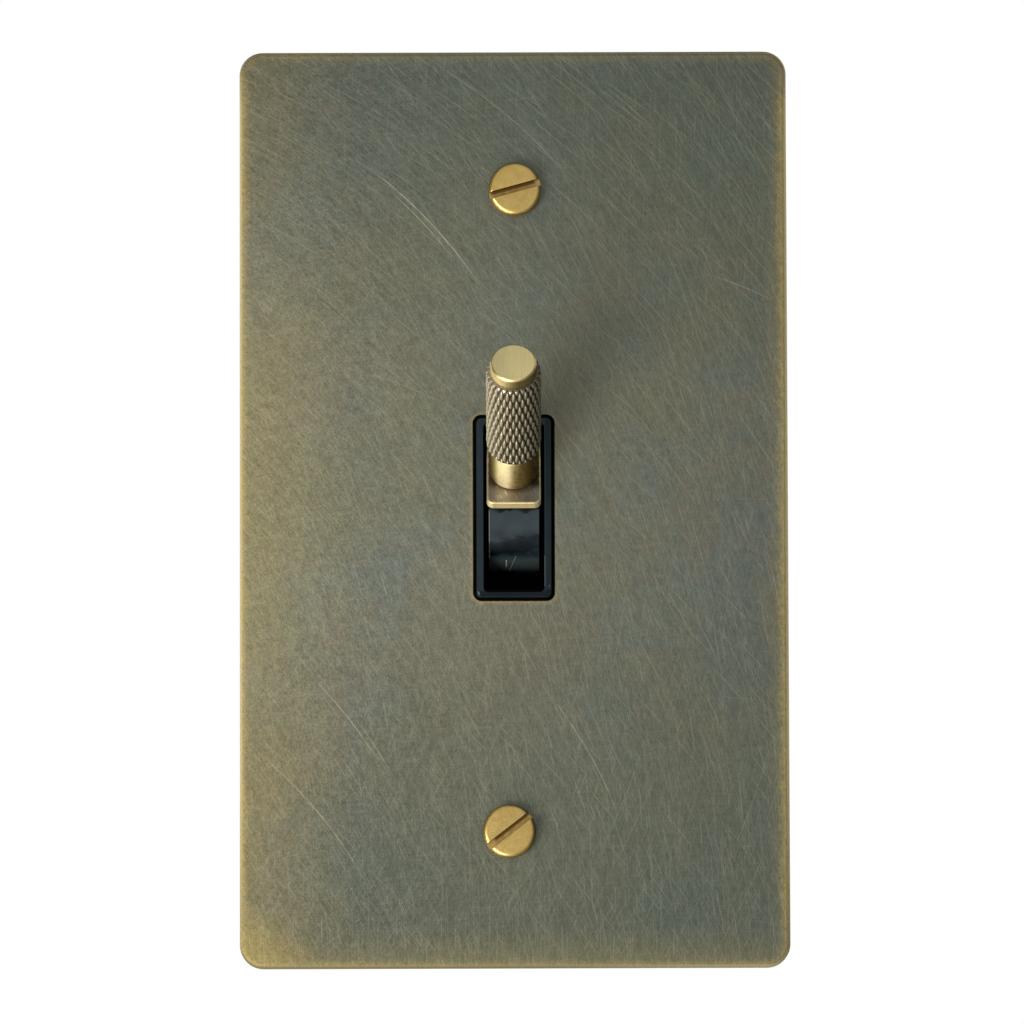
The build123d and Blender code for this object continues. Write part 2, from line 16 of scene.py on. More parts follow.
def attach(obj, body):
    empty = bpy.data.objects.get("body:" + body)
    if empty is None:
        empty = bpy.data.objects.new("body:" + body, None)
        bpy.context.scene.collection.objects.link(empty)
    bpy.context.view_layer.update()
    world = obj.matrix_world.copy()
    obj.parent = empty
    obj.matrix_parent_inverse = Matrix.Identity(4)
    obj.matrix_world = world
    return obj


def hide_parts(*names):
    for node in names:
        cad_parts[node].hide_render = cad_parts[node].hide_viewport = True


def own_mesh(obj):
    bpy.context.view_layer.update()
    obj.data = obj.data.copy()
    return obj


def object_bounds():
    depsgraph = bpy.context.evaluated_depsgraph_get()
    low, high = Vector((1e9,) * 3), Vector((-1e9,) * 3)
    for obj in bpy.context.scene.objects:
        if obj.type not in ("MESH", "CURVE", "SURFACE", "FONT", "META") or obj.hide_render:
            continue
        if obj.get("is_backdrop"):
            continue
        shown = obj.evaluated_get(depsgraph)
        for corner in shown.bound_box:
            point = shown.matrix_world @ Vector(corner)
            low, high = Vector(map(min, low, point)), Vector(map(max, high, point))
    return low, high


MM = 0.001
TAU = 2 * math.pi

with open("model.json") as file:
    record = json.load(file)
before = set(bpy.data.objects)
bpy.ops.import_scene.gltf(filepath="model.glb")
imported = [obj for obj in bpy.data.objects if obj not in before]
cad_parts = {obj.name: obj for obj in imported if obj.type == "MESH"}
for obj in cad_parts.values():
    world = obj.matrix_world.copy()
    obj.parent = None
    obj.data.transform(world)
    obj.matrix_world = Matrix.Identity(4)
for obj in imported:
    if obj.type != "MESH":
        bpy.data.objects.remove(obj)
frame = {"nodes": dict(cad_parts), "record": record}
nodes = frame["nodes"]
cad_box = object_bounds()


# ---- dimensions that the looks share with the CAD, in millimetres ----
PLATE_W, PLATE_H, PLATE_T, PLATE_CORNER_R = 71.0, 119.0, 3.0, 3.0
COLLAR_GAP_W, COLLAR_GAP_H, COLLAR_GAP_R = 10.6, 24.2, 1.1

PIVOT = Vector((0, 3.5 * MM, 0))
LEVER_ANGLE = math.radians(31)
LEVER_AXIS = Vector((0, -math.cos(LEVER_ANGLE), math.sin(LEVER_ANGLE)))

SADDLE_TOP, GRIP_START, GRIP_END, CAP_END = 9.2, 14.7, 30.7, 32.5
NECK_R, CORE_R, GRIP_R, CAP_R = 3.2, 2.2, 3.55, 3.0
SADDLE_HALF_W, SADDLE_HALF_L, SADDLE_CORNER_R = 3.5, 5.25, 0.9
CHANNEL_HALF_W, CHANNEL_HALF_H, BARREL_HALF_W = 3.85, 10.65, 3.25

SCREW_SPACING, SCREW_MID_Z = 83.3, -0.3
SCREWS = {"upper": (0.25, 1, 15.3), "lower": (-0.70, -1, 37.7)}
SCREW_HEAD_R, SCREW_HEAD_T, SCREW_NECK_R, SCREW_R = 3.4, 2.0, 1.4, 1.75
SCREW_TOP = -PLATE_T - SCREW_HEAD_T
SCREW_THREAD_START, SCREW_TIP, SCREW_SLOT_DEPTH = 7.8, 27.4, 1.1
INCH_THREAD_PITCH = 25.4 / 32
STUD_SPACING, STUD_R, STUD_FLANGE_R = 60.3, 1.5, 2.5
STUD_BACK, STUD_SEAT, STUD_TIP = -0.3, 0.9, 7.3
TERMINAL_Z, TERMINAL_SCREW_Y = 14.0, 15.6
TERMINAL_SCREW_R, TERMINAL_HEAD_R, TERMINAL_HEAD_T = 2.08, 3.75, 2.2
TERMINAL_HEAD_X, TERMINAL_TIP_X = 15.72, 9.0
GROUND_HEAD_X, GROUND_Y, GROUND_Z = -16.02, 7.0, -31.05
GROUND_FLATS, GROUND_FLANGE_R, GROUND_HEAD_T, GROUND_LENGTH = 6.35, 3.8, 3.0, 11.0


# ---- mesh helpers ----
class Place:
    """An axis in space with two directions across it, for turned pieces."""

    def __init__(self, origin, axis, first=(1, 0, 0)):
        self.origin = Vector(origin)
        self.axis = Vector(axis).normalized()
        across = Vector(first)
        self.first = (across - self.axis * across.dot(self.axis)).normalized()
        self.second = self.axis.cross(self.first)

    def points(self, u, v, s):
        """World positions in metres of points given across and along the axis in millimetres."""
        parts = ((u, self.first), (v, self.second), (s, self.axis))
        return np.array(self.origin) + MM * sum(
            np.asarray(value)[..., None] * np.array(direction) for value, direction in parts
        )


def new_object(name, data):
    made = bpy.data.objects.new(name, data)
    bpy.context.scene.collection.objects.link(made)
    return made


def smooth(mesh, sharp_degrees=40):
    mesh.shade_smooth()
    mesh.set_sharp_from_angle(angle=math.radians(sharp_degrees))


def new_piece(name, verts, faces, sharp_degrees=40):
    mesh = bpy.data.meshes.new(name)
    mesh.from_pydata([tuple(v) for v in verts], [], faces)
    mesh.update()
    smooth(mesh, sharp_degrees)
    return new_object(name, mesh)


def spin(name, place, rows, segments=96, shape=None, ring=False, sharp_degrees=40):
    """A closed turned piece. rows are (distance along the axis, radius) in millimetres.

    A row of radius 0 is a pole. shape(angle, distance, radius) changes the radius round the turn.
    With ring the last row joins the first, as in a sleeve.
    """
    along = np.array([row[0] for row in rows])
    radius = np.repeat(np.array([row[1] for row in rows])[:, None], segments, axis=1)
    angle = np.linspace(0, TAU, segments, endpoint=False)[None, :]
    if shape is not None:
        radius = np.where(radius > 0, shape(angle, along[:, None], radius), 0)
    grid = place.points(radius * np.cos(angle), radius * np.sin(angle), along[:, None] + 0 * radius)
    verts, index = [], []
    for row, points in zip(rows, grid):
        first = len(verts)
        if row[1] == 0:
            verts.append(points[0])
            index.append([first] * segments)
        else:
            verts.extend(points)
            index.append(list(range(first, first + segments)))
    pairs = list(zip(index, index[1:])) + ([(index[-1], index[0])] if ring else [])
    faces = []
    for low, high in pairs:
        for j in range(segments):
            k = (j + 1) % segments
            # at a pole two corners are one, which leaves a triangle
            faces.append(tuple(dict.fromkeys((low[j], low[k], high[k], high[j]))))
    return new_piece(name, verts, faces, sharp_degrees)


def softened(profile, size, steps=3):
    """A profile with each inner corner replaced by a small curve that starts this far from it."""
    out = [profile[0]]
    for before, corner, after in zip(profile, profile[1:], profile[2:]):
        before, corner, after = (np.array(p, float) for p in (before, corner, after))
        arms = [before - corner, after - corner]
        ends = [corner + arm * min(size / np.linalg.norm(arm), 0.45) for arm in arms]
        for t in np.linspace(0, 1, steps + 1):
            point = (1 - t) ** 2 * ends[0] + 2 * t * (1 - t) * corner + t**2 * ends[1]
            out.append(tuple(point))
    return out + [profile[-1]]


def thread(pitch, depth, start, end, crest_r):
    """A shape for spin(): a right-hand V thread that runs out softly at both ends."""

    def shape(angle, along, radius):
        phase = along / pitch - angle / TAU
        groove = np.abs(2 * (phase - np.floor(phase)) - 1)
        groove = np.clip((groove - 0.12) / 0.80, 0, 1)
        run = np.clip(np.minimum(along - start, end - along) / (0.6 * pitch), 0, 1)
        limit = crest_r - depth * groove * run
        threaded = (along > start) & (along < end)
        return np.where(threaded, np.minimum(radius, limit), radius)

    return shape


def stretch(start, end, radius, step):
    """Rows of one radius at even steps."""
    return [(s, radius) for s in np.linspace(start, end, int(round((end - start) / step)) + 1)]


SLOT_BEVEL_MM = 0.05


def saw_slot(piece, place, turn_degrees, width, depth, head_r):
    """Saws a screwdriver slot across the head, at the start of the axis, and breaks its edges."""
    bpy.ops.mesh.primitive_cube_add(size=1)
    saw = bpy.context.object
    turn = Matrix.Rotation(math.radians(turn_degrees), 3, place.axis)
    along, across = turn @ place.first, turn @ place.second
    size = Vector((4 * head_r, width, 2 * depth)) * MM
    columns = (along * size.x, across * size.y, place.axis * size.z)
    saw.matrix_world = Matrix.Translation(place.origin) @ Matrix(columns).transposed().to_4x4()
    cut = piece.modifiers.new("slot", "BOOLEAN")
    cut.operation, cut.solver, cut.object = "DIFFERENCE", "EXACT", saw
    bpy.context.view_layer.update()
    sawn = bpy.data.meshes.new_from_object(piece.evaluated_get(bpy.context.evaluated_depsgraph_get()))
    piece.modifiers.clear()
    piece.data = sawn
    bpy.data.objects.remove(saw)

    work = bmesh.new()
    work.from_mesh(sawn)
    half = width / 2 * MM

    def on_wall(vert):
        offset = vert.co - place.origin
        deep = offset.dot(place.axis)
        return deep < (depth - 0.02) * MM and abs(abs(offset.dot(across)) - half) < 1e-6

    walls = [e for e in work.edges if all(on_wall(v) for v in e.verts)]
    rims = [e for e in walls if e.calc_face_angle(0) > math.radians(50)]
    bmesh.ops.bevel(work, geom=rims, offset=SLOT_BEVEL_MM * MM, segments=2, profile=0.5, affect="EDGES")
    work.to_mesh(sawn)
    work.free()
    smooth(sawn)


def join(name, parts):
    """One piece from several meshes."""
    work = bmesh.new()
    for part in parts:
        work.from_mesh(part.data)
    mesh = bpy.data.meshes.new(name)
    work.to_mesh(mesh)
    work.free()
    for part in parts:
        bpy.data.objects.remove(part)
    smooth(mesh)
    return new_object(name, mesh)


def stand_in(piece, body, node):
    """The piece rides on a body, stands for a CAD node and takes over its finish."""
    slot = SLOTS[node]
    piece.data.materials.clear()
    piece.data.materials.append(MATERIALS[slot])
    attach(piece, body)
    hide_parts(node)
    return piece


# ---- material helpers ----
def opaque(color):
    """A colour with full alpha. A socket or a number stays as it is."""
    return (*color, 1.0) if isinstance(color, tuple) else color


class NodeTree:
    """The nodes of a material or a world, with short calls for those that are used most."""

    def __init__(self, owner):
        owner.use_nodes = True
        self.tree = owner.node_tree
        self.tree.nodes.clear()

    def node(self, kind, inputs=None, **settings):
        """A new node, its inputs fed with values or with the outputs of other nodes."""
        made = self.tree.nodes.new(kind)
        for key, value in settings.items():
            setattr(made, key, value)
        for key, value in (inputs or {}).items():
            if isinstance(value, bpy.types.NodeSocket):
                self.tree.links.new(value, made.inputs[key])
            else:
                made.inputs[key].default_value = value
        return made

    def vector(self, operation, a, b=(0, 0, 0), scale=1.0):
        made = self.node("ShaderNodeVectorMath", {0: a, 1: b, 3: scale}, operation=operation)
        return made.outputs["Value" if operation in ("LENGTH", "DOT_PRODUCT") else "Vector"]

    def length(self, x, y):
        return self.vector("LENGTH", self.join(x, y))

    def split(self, value):
        """The three parts of a vector or a colour."""
        kind = "ShaderNodeSeparateColor" if value.type == "RGBA" else "ShaderNodeSeparateXYZ"
        return self.node(kind, {0: value}).outputs[:]

    def join(self, x=0.0, y=0.0, z=0.0):
        return self.node("ShaderNodeCombineXYZ", {0: x, 1: y, 2: z}).outputs[0]

    def math(self, operation, a, b=0.0):
        return self.node("ShaderNodeMath", {0: a, 1: b}, operation=operation).outputs[0]

    def add(self, total, *others):
        for other in others:
            total = self.math("ADD", total, other)
        return total

    def times(self, total, *others):
        for other in others:
            total = self.math("MULTIPLY", total, other)
        return total

    def minus(self, a, b):
        return self.math("SUBTRACT", a, b)

    def size(self, a):
        return self.math("ABSOLUTE", a)

    def ramp(self, value, low, high, out_low=0.0, out_high=1.0, kind="LINEAR"):
        """The value's place between low and high, mapped to the output range and held at its ends."""
        limits = {"From Min": low, "From Max": high, "To Min": out_low, "To Max": out_high}
        made = self.node("ShaderNodeMapRange", {"Value": value, **limits}, interpolation_type=kind)
        return made.outputs[0]

    def between(self, *limits):
        """The same with a soft start and end."""
        return self.ramp(*limits, kind="SMOOTHSTEP")

    def noise(self, vector, size=1.0, detail=2.0, roughness=0.5, distortion=0.0):
        look = {"Scale": 1 / size, "Detail": detail, "Roughness": roughness, "Distortion": distortion}
        return self.node("ShaderNodeTexNoise", {"Vector": vector, **look}).outputs["Fac"]

    def mix(self, factor, a, b, clamp=True):
        inputs = {0: factor, 6: opaque(a), 7: opaque(b)}
        return self.node("ShaderNodeMix", inputs, data_type="RGBA", clamp_factor=clamp).outputs[2]

    def brighten(self, color, amount):
        """The colour multiplied by a number: as far from black as the amount says."""
        return self.mix(amount, (0, 0, 0), color, clamp=False)


class Finish(NodeTree):
    """A material's nodes, which start from places on the object in millimetres."""

    SOCKETS = {
        "color": "Base Color",
        "metal": "Metallic",
        "rough": "Roughness",
        "normal": "Normal",
        "specular": "Specular IOR Level",
        "anisotropy": "Anisotropic",
        "tint": "Specular Tint",
    }

    def __init__(self, name):
        self.material = bpy.data.materials.new(name)
        super().__init__(self.material)
        coords = self.node("ShaderNodeTexCoord").outputs["Object"]
        self.mm = self.vector("SCALE", coords, scale=1 / MM)
        self.x, self.y, self.z = self.split(self.mm)

    def lever(self):
        """Coordinates along the lever at rest: across it, across it the other way, and outward."""
        turn = (math.pi / 2 - LEVER_ANGLE, 0, 0)
        inputs = {"Vector": self.mm, "Location": PIVOT / MM, "Rotation": turn}
        return self.node("ShaderNodeMapping", inputs, vector_type="TEXTURE").outputs[0]

    def polar(self, centre):
        """Distance in the front view from a centre, and the angle about it."""
        dx, dz = self.minus(self.x, centre[0]), self.minus(self.z, centre[1])
        return self.length(dx, dz), self.math("ARCTAN2", dz, dx)

    def swept(self, centre, across, along, seed):
        """Noise drawn out into long arcs about a centre, as a hand leaves them on a flat face."""
        reach, turn = self.polar(centre)
        far = math.hypot(*centre)
        place = self.join(self.times(reach, 1 / across), self.times(turn, far / along), seed)
        return self.noise(place, detail=1.0)

    def stroke(self, start, end, width):
        """A straight scratch between two points of the front view, softened at its sides."""
        span = Vector(end) - Vector(start)
        offset = self.join(self.minus(self.x, start[0]), self.minus(self.z, start[1]))
        share = self.vector("DOT_PRODUCT", offset, (*(span / span.length_squared), 0))
        share = self.math("MINIMUM", self.math("MAXIMUM", share, 0.0), 1.0)
        nearest = self.vector("SCALE", (*span, 0), scale=share)
        off = self.vector("LENGTH", self.vector("SUBTRACT", offset, nearest))
        return self.between(off, 0.3 * width, width, 1.0, 0.0)

    def box_distance(self, a, b, half_a, half_b, radius):
        """Distance from a rounded rectangle's outline, less than 0 inside it."""
        qa = self.minus(self.size(a), half_a - radius)
        qb = self.minus(self.size(b), half_b - radius)
        outside = self.length(self.math("MAXIMUM", qa, 0.0), self.math("MAXIMUM", qb, 0.0))
        inside = self.math("MINIMUM", self.math("MAXIMUM", qa, qb), 0.0)
        return self.minus(self.add(outside, inside), radius)

    def bump(self, height, distance, strength=1.0, normal=None):
        inputs = {"Height": height, "Distance": distance * MM, "Strength": strength}
        if normal is not None:
            inputs["Normal"] = normal
        return self.node("ShaderNodeBump", inputs).outputs[0]

    def round_edges(self, radius):
        """A normal that rounds the edges a little."""
        return self.node("ShaderNodeBevel", {"Radius": radius * MM}, samples=4).outputs[0]

    def done(self, **looks):
        """The material, from the shader's sockets by their short names."""
        inputs = {self.SOCKETS[name]: opaque(value) for name, value in looks.items()}
        shader = self.node("ShaderNodeBsdfPrincipled", inputs)
        self.node("ShaderNodeOutputMaterial", {"Surface": shader.outputs[0]})
        return self.material


# ---- the face plate: rubbed antique brass ----
OLIVE = (0.134, 0.136, 0.091)
BLUE_GREY = (0.119, 0.135, 0.112)
WARM_BROWN = (0.143, 0.135, 0.092)
RUSSET = (0.152, 0.128, 0.092)
COOL_GREEN = (0.098, 0.126, 0.095)
GRIME = (0.085, 0.066, 0.016)
WORN_GOLD = (0.50, 0.36, 0.09)
PALE_WEAR_AND_GLINT = (0.78, 0.68, 0.42)
SCRATCH = (0.46, 0.42, 0.29)

# dense hairlines: the centre that they turn about, their width and length, a seed, and two weights,
# at the plate's left and right side
HAIRLINES = [
    ((-200, -60), 0.10, 6.0, 1.5, 1.0, 1.0),
    ((-150, -120), 0.11, 7.0, 7.5, 1.0, 0.7),
    ((-64, -20), 0.12, 6.0, 3.5, 0.8, 0.3),
    ((-260, 60), 0.10, 5.0, 5.5, 0.6, 0.7),
    ((30, -240), 0.11, 4.0, 9.5, 0.6, 0.2),
    ((-20, 260), 0.12, 4.0, 11.5, 0.5, 0.2),
]
# single scratches: centre, spacing of the rings that hold them, their length, a seed, strength
SCRATCHES = [
    ((-95, -75), 0.8, 9.0, 1.0, 0.60),
    ((-64, -4), 1.3, 14.0, 2.0, 0.42),
    ((-150, -50), 0.6, 6.0, 3.0, 0.50),
    ((-120, -150), 0.9, 8.0, 4.0, 0.50),
    ((190, 40), 1.1, 6.0, 5.0, 0.35),
    ((-240, 50), 0.6, 4.5, 6.0, 0.28),
    ((20, -190), 1.6, 7.0, 7.0, 0.22),
]
# the deepest scratches one by one: centre, radius, the two angles between which they run, strength
DEEP_ARCS = [
    ((-55.4, -4.4), 61.0, 31, 56, 1.0),
    ((-56.2, -4.0), 60.6, 36, 50, 0.7),
    ((-41.0, 4.0), 62.0, 36, 62, 0.5),
    ((-66.0, -62.0), 56.5, 30, 46, 0.95),
    ((-66.6, -62.6), 58.0, 29, 40, 0.6),
    ((-72.0, -78.0), 60.5, 28, 52, 0.7),
    ((-44.0, -62.0), 61.5, 18, 42, 0.5),
    ((8.0, -24.0), 57.0, 62, 74, 0.5),
    ((-36.0, -40.0), 60.0, 56, 80, 0.3),
    ((-8.0, -12.0), 58.5, 20, 38, 0.3),
]


def strongest(f, marks):
    """The highest of several values, each compared as soon as its nodes are made."""
    marks = iter(marks)
    total = next(marks)
    for mark in marks:
        total = f.math("MAXIMUM", total, mark)
    return total


WHITE_NOISE = "ShaderNodeTexWhiteNoise"


def short_scratches(f):
    """Thin arcs: each ring about a centre is cut into lengths, and some of them hold a scratch."""
    for centre, spacing, length, seed, strength in SCRATCHES:
        reach, turn = f.polar(centre)
        ring = f.times(reach, 1 / spacing)
        cell = f.math("FLOOR", ring)
        shift = f.node(WHITE_NOISE, {"Vector": f.join(cell, seed)}, noise_dimensions="2D")
        along = f.add(f.times(turn, math.hypot(*centre) / length), f.times(shift.outputs["Value"], 9.0))
        dice = f.node(WHITE_NOISE, {"Vector": f.join(cell, f.math("FLOOR", along), seed)})
        place, chance, lean = f.split(dice.outputs["Color"])
        share = f.math("FRACT", along)
        middle = f.size(f.minus(share, 0.5))
        slant = f.times(f.minus(lean, 0.5), f.minus(share, 0.5))
        line = f.add(f.ramp(place, 0, 1, 0.3, 0.7), f.times(slant, 0.55))
        off = f.size(f.minus(f.math("FRACT", ring), line))
        thin = f.between(off, 0.015 / spacing, 0.095 / spacing, 1.0, 0.0)
        ends = f.between(middle, 0.18, 0.46, 1.0, 0.0)
        yield f.times(thin, ends, f.between(chance, 0.55, 1.0, 0.0, strength))


def deep_arcs(f):
    """One line along each arc, fading at both ends."""
    for centre, radius, low, high, strength in DEEP_ARCS:
        reach, turn = f.polar(centre)
        off = f.size(f.minus(reach, radius))
        line = f.between(off, 0.02, 0.10, strength, 0.0)
        low, high = math.radians(low), math.radians(high)
        soft = 0.35 * (high - low)
        window = f.times(f.between(turn, low, low + soft), f.between(turn, high - soft, high, 1.0, 0.0))
        yield f.times(line, window)


def hairlines(f):
    """Sums of lighter and of darker hairlines."""
    bright = dark = 0.0
    rightward = f.between(f.x, -30, 30)
    for centre, across, along, seed, left_weight, right_weight in HAIRLINES:
        weight = f.ramp(rightward, 0, 1, left_weight, right_weight)
        line = f.swept(centre, across, along, seed)
        bright = f.add(bright, f.times(f.between(line, 0.53, 0.73), weight))
        dark = f.add(dark, f.times(f.between(line, 0.47, 0.27), weight))
    return bright, dark


def plate_outline(f):
    return f.box_distance(f.x, f.z, PLATE_W / 2, PLATE_H / 2, PLATE_CORNER_R)


def plate_wear(f):
    """Where the patina is rubbed down to gold: the outline, most of all at the left and the bottom."""
    ragged = f.noise(f.mm, 0.7, detail=4.0, roughness=0.7)
    ragged = f.ramp(ragged, 0.25, 0.75, -0.5, 0.5)
    edge = f.add(plate_outline(f), ragged)
    left = f.between(f.x, -10, -35)
    top = f.between(f.z, 52, 59)
    bottom = f.between(f.z, -50, -57)
    right = f.between(f.x, 25, 35)
    shares = ((left, 0.12), (right, 0.08), (top, -0.24), (bottom, -0.12))
    strip = f.add(0.36, *(f.times(side, share) for side, share in shares))
    marks = [f.times(f.between(edge, -2.1, 0.1), strip)]
    tail = f.ramp(f.x, 15 - PLATE_W / 2, -PLATE_W / 2, 0.0, 0.20)
    marks.append(f.times(tail, f.between(f.z, 10, 45, 1.0, 0.45)))
    marks.append(f.between(f.x, PLATE_W / 2 - 3.5, PLATE_W / 2, 0.0, 0.12))
    marks.append(f.between(f.z, -PLATE_H / 2 + 6, -PLATE_H / 2, 0.0, 0.10))
    from_corner = f.add(f.add(f.x, PLATE_W / 2), f.add(f.z, PLATE_H / 2))
    marks.append(f.between(from_corner, 17, 2, 0.0, 0.44))
    opening = f.box_distance(f.x, f.z, COLLAR_GAP_W / 2, COLLAR_GAP_H / 2, COLLAR_GAP_R)
    opening = f.add(opening, f.times(ragged, 0.5))
    rim = f.add(f.between(f.x, 0, -5, 0.07, 0.20), f.between(f.z, -10, -12, 0.0, 0.10))
    marks.append(f.times(f.between(opening, 0.60, 0.10), rim))
    return strongest(f, marks)


def patina(f):
    """Blue-grey and warm patches over olive, and the two noises that speckle them."""
    cloud = f.noise(f.vector("ADD", f.mm, (13, 0, 5)), 26.0, detail=4.0, roughness=0.6)
    warm = f.noise(f.vector("ADD", f.mm, (-40, 0, 22)), 17.0, detail=4.0, roughness=0.6)
    cloud = f.add(cloud, f.add(f.between(f.z, 15, 55, 0, 0.07), f.between(f.x, 5, 34, 0, 0.08)))
    color = f.mix(f.between(cloud, 0.42, 0.66), OLIVE, BLUE_GREY)
    below = f.vector("LENGTH", f.vector("SUBTRACT", f.mm, (-4, -3, -28)))
    warm = f.add(warm, f.between(below, 30, 6, 0, 0.17))
    color = f.mix(f.times(f.between(warm, 0.46, 0.70), 0.8), color, WARM_BROWN)
    patch = f.noise(f.vector("ADD", f.mm, (7, 0, 3)), 1.7, detail=4.0, roughness=0.7)
    color = f.mix(f.between(patch, 0.48, 0.66, 0, 0.45), color, RUSSET)
    # painted light: the plate is lighter at the left, where the light falls, and darker at the right;
    # it is also darker towards both ends, and cooler towards the ends, most at the right
    from_middle = f.size(f.add(f.z, -3))
    depth = f.ramp(f.x, -36, 36, 1.20, 0.76)
    depth = f.times(depth, f.between(from_middle, 8, 60, 1.0, 0.62))
    color = f.brighten(color, depth)
    cool = f.times(f.between(from_middle, 14, 44, 0, 0.32), f.between(f.x, -30, 5, 0.3, 1.0))
    color = f.mix(cool, color, COOL_GREEN)
    mottle = f.noise(f.mm, 0.9, detail=5.0, roughness=0.7)
    grain = f.noise(f.mm, 0.22, detail=3.0, roughness=0.7)
    coarser = f.ramp(f.x, -36, 0, 2.1, 1.05)
    for speckle, strength in ((mottle, 0.48), (grain, 0.80)):
        lift = f.times(f.minus(speckle, 0.5), f.times(coarser, strength))
        color = f.brighten(color, f.add(1.0, lift))
    return color, mottle, grain


def scratched(f, color):
    """The colour with its hairlines and scratches, and where these two are."""
    bright, dark = hairlines(f)
    color = f.mix(f.math("MINIMUM", f.times(bright, 0.07), 0.5), color, SCRATCH)
    color = f.brighten(color, f.minus(1.0, f.math("MINIMUM", f.times(dark, 0.08), 0.4)))
    short = f.times(strongest(f, short_scratches(f)), 0.42)
    broken = f.between(f.noise(f.mm, 1.3), 0.3, 0.6, 0.45, 1.0)
    scratch = f.math("MAXIMUM", short, f.times(strongest(f, deep_arcs(f)), broken))
    return f.mix(f.times(scratch, 0.62), color, SCRATCH), bright, scratch


def outline_wear_and_glint(f, color):
    """The colour with a pale line at the very edge, partly rubbed brass and partly a painted highlight
    where the rounding catches the light, and where the edge rounds over.
    """
    brink = plate_outline(f)
    rounding = f.between(brink, -0.80, -0.50)
    brink = f.between(brink, -0.45, -0.15)
    lit = f.times(f.between(f.z, 50, 58, 0.6, 0.25), f.between(f.z, -56, -30, 0.4, 1.0))
    sides = f.add(f.between(f.x, -30, -35, 1.0, 0.7), f.between(f.x, 30, 35, 0.0, 0.3))
    # painted highlight mixed with rubbed brass: the pale line along the brink, weighted by where the
    # light falls
    color = f.mix(f.times(brink, f.times(lit, sides)), color, PALE_WEAR_AND_GLINT)
    dirty = f.times(f.between(f.z, -56, -58.5), f.between(f.x, 30, 0, 0.3, 1.0))
    return f.mix(f.times(brink, f.times(dirty, 0.55)), color, GRIME), rounding


def antique_brass():
    """The plate. With three more deep arcs it rendered black, so it takes no more nodes."""
    f = Finish("antique_brass")
    color, mottle, grain = patina(f)
    color, bright, scratch = scratched(f, color)
    back = f.between(f.y, -1.2, -0.2)
    wear = f.math("MAXIMUM", plate_wear(f), f.times(back, 0.6))
    speckle = f.ramp(f.add(grain, f.times(bright, 0.12)), 0.3, 0.75, 0.72, 1.28)
    color, rounding = outline_wear_and_glint(f, f.mix(f.times(wear, speckle), color, WORN_GOLD))
    rough = f.between(mottle, 0.3, 0.7, 0.40, 0.50)
    rough = f.minus(rough, f.times(wear, 0.10))
    rough = f.add(rough, f.times(rounding, 0.32))
    relief = f.add(f.add(f.times(bright, -0.5), f.times(scratch, -1.0)), f.times(grain, 0.6))
    normal = f.bump(relief, 0.012, 0.5, f.round_edges(0.12))
    return f.done(color=color, metal=0.82, rough=rough, normal=normal)


# ---- other brasses ----
def upper_half(f):
    """The upper part of each plate screw's slot, where its wall throws a shadow on the floor."""
    halves = []
    for x, side, turn in SCREWS.values():
        turn = math.radians(turn)
        dx = f.minus(f.x, x)
        dz = f.minus(f.z, SCREW_MID_Z + side * SCREW_SPACING / 2)
        across = f.add(f.times(dx, -math.sin(turn)), f.times(dz, math.cos(turn)))
        halves.append(f.times(f.between(across, -0.02, 0.20), f.between(f.times(f.z, side), 0, 1)))
    return f.add(*halves)


def screw_brass():
    """Satin brass, with a slot that is brown at the floor; painted shade makes its walls nearly black,
    darkens the floor under the upper wall, and darkens the side of the head.
    """
    f = Finish("screw_brass")
    grain = f.noise(f.mm, 0.16, detail=3.0, roughness=0.65)
    cloud = f.noise(f.mm, 1.2)
    color = f.mix(f.between(cloud, 0.35, 0.65), (0.47, 0.325, 0.100), (0.52, 0.365, 0.125))
    color = f.brighten(color, f.ramp(grain, 0.25, 0.75, 0.86, 1.14))
    radius = SCREW_HEAD_R - 0.75
    side = f.minus(f.size(f.z), SCREW_SPACING / 2)
    inward = f.between(f.length(f.x, side), radius + 0.5, radius)
    # painted shade: the slot's walls nearly black
    wall = f.times(f.between(f.y, SCREW_TOP + 0.10, SCREW_TOP + 0.35), inward)
    slot_floor = SCREW_TOP + SCREW_SLOT_DEPTH
    floor = f.between(f.y, slot_floor - 0.12, slot_floor - 0.04)
    color = f.mix(f.times(wall, 0.9), color, (0.030, 0.014, 0.003))
    stain = f.noise(f.mm, 0.8, detail=3.0)
    brown = f.mix(f.between(stain, 0.35, 0.65), (0.27, 0.165, 0.045), (0.34, 0.22, 0.085))
    color = f.mix(f.times(floor, f.between(inward, 0, 1, 0.6, 1.0)), color, brown)
    # painted shadow of the upper wall on the slot's floor
    shaded = f.times(floor, inward, upper_half(f), 0.85)
    color = f.mix(shaded, color, (0.085, 0.042, 0.008))
    # painted shade: the side of the head darker, down where it meets the plate
    skirt = f.times(f.between(f.y, SCREW_TOP + 0.40, SCREW_TOP + 0.65), f.minus(1.0, floor))
    skirt = f.times(skirt, f.between(f.y, -PLATE_T, -PLATE_T - 0.02))
    color = f.mix(f.times(skirt, 0.65), color, (0.14, 0.075, 0.020))
    # the thread behind the plate is bare
    color = f.mix(f.between(f.y, -0.5, 0.5), color, (0.60, 0.46, 0.20))
    below_rim = f.between(f.y, SCREW_TOP + 0.02, SCREW_TOP + 0.12, 0, 0.10)
    rough = f.add(f.between(grain, 0.3, 0.7, 0.28, 0.38), below_rim)
    return f.done(color=color, metal=1.0, rough=rough, normal=f.bump(grain, 0.006, 0.5))


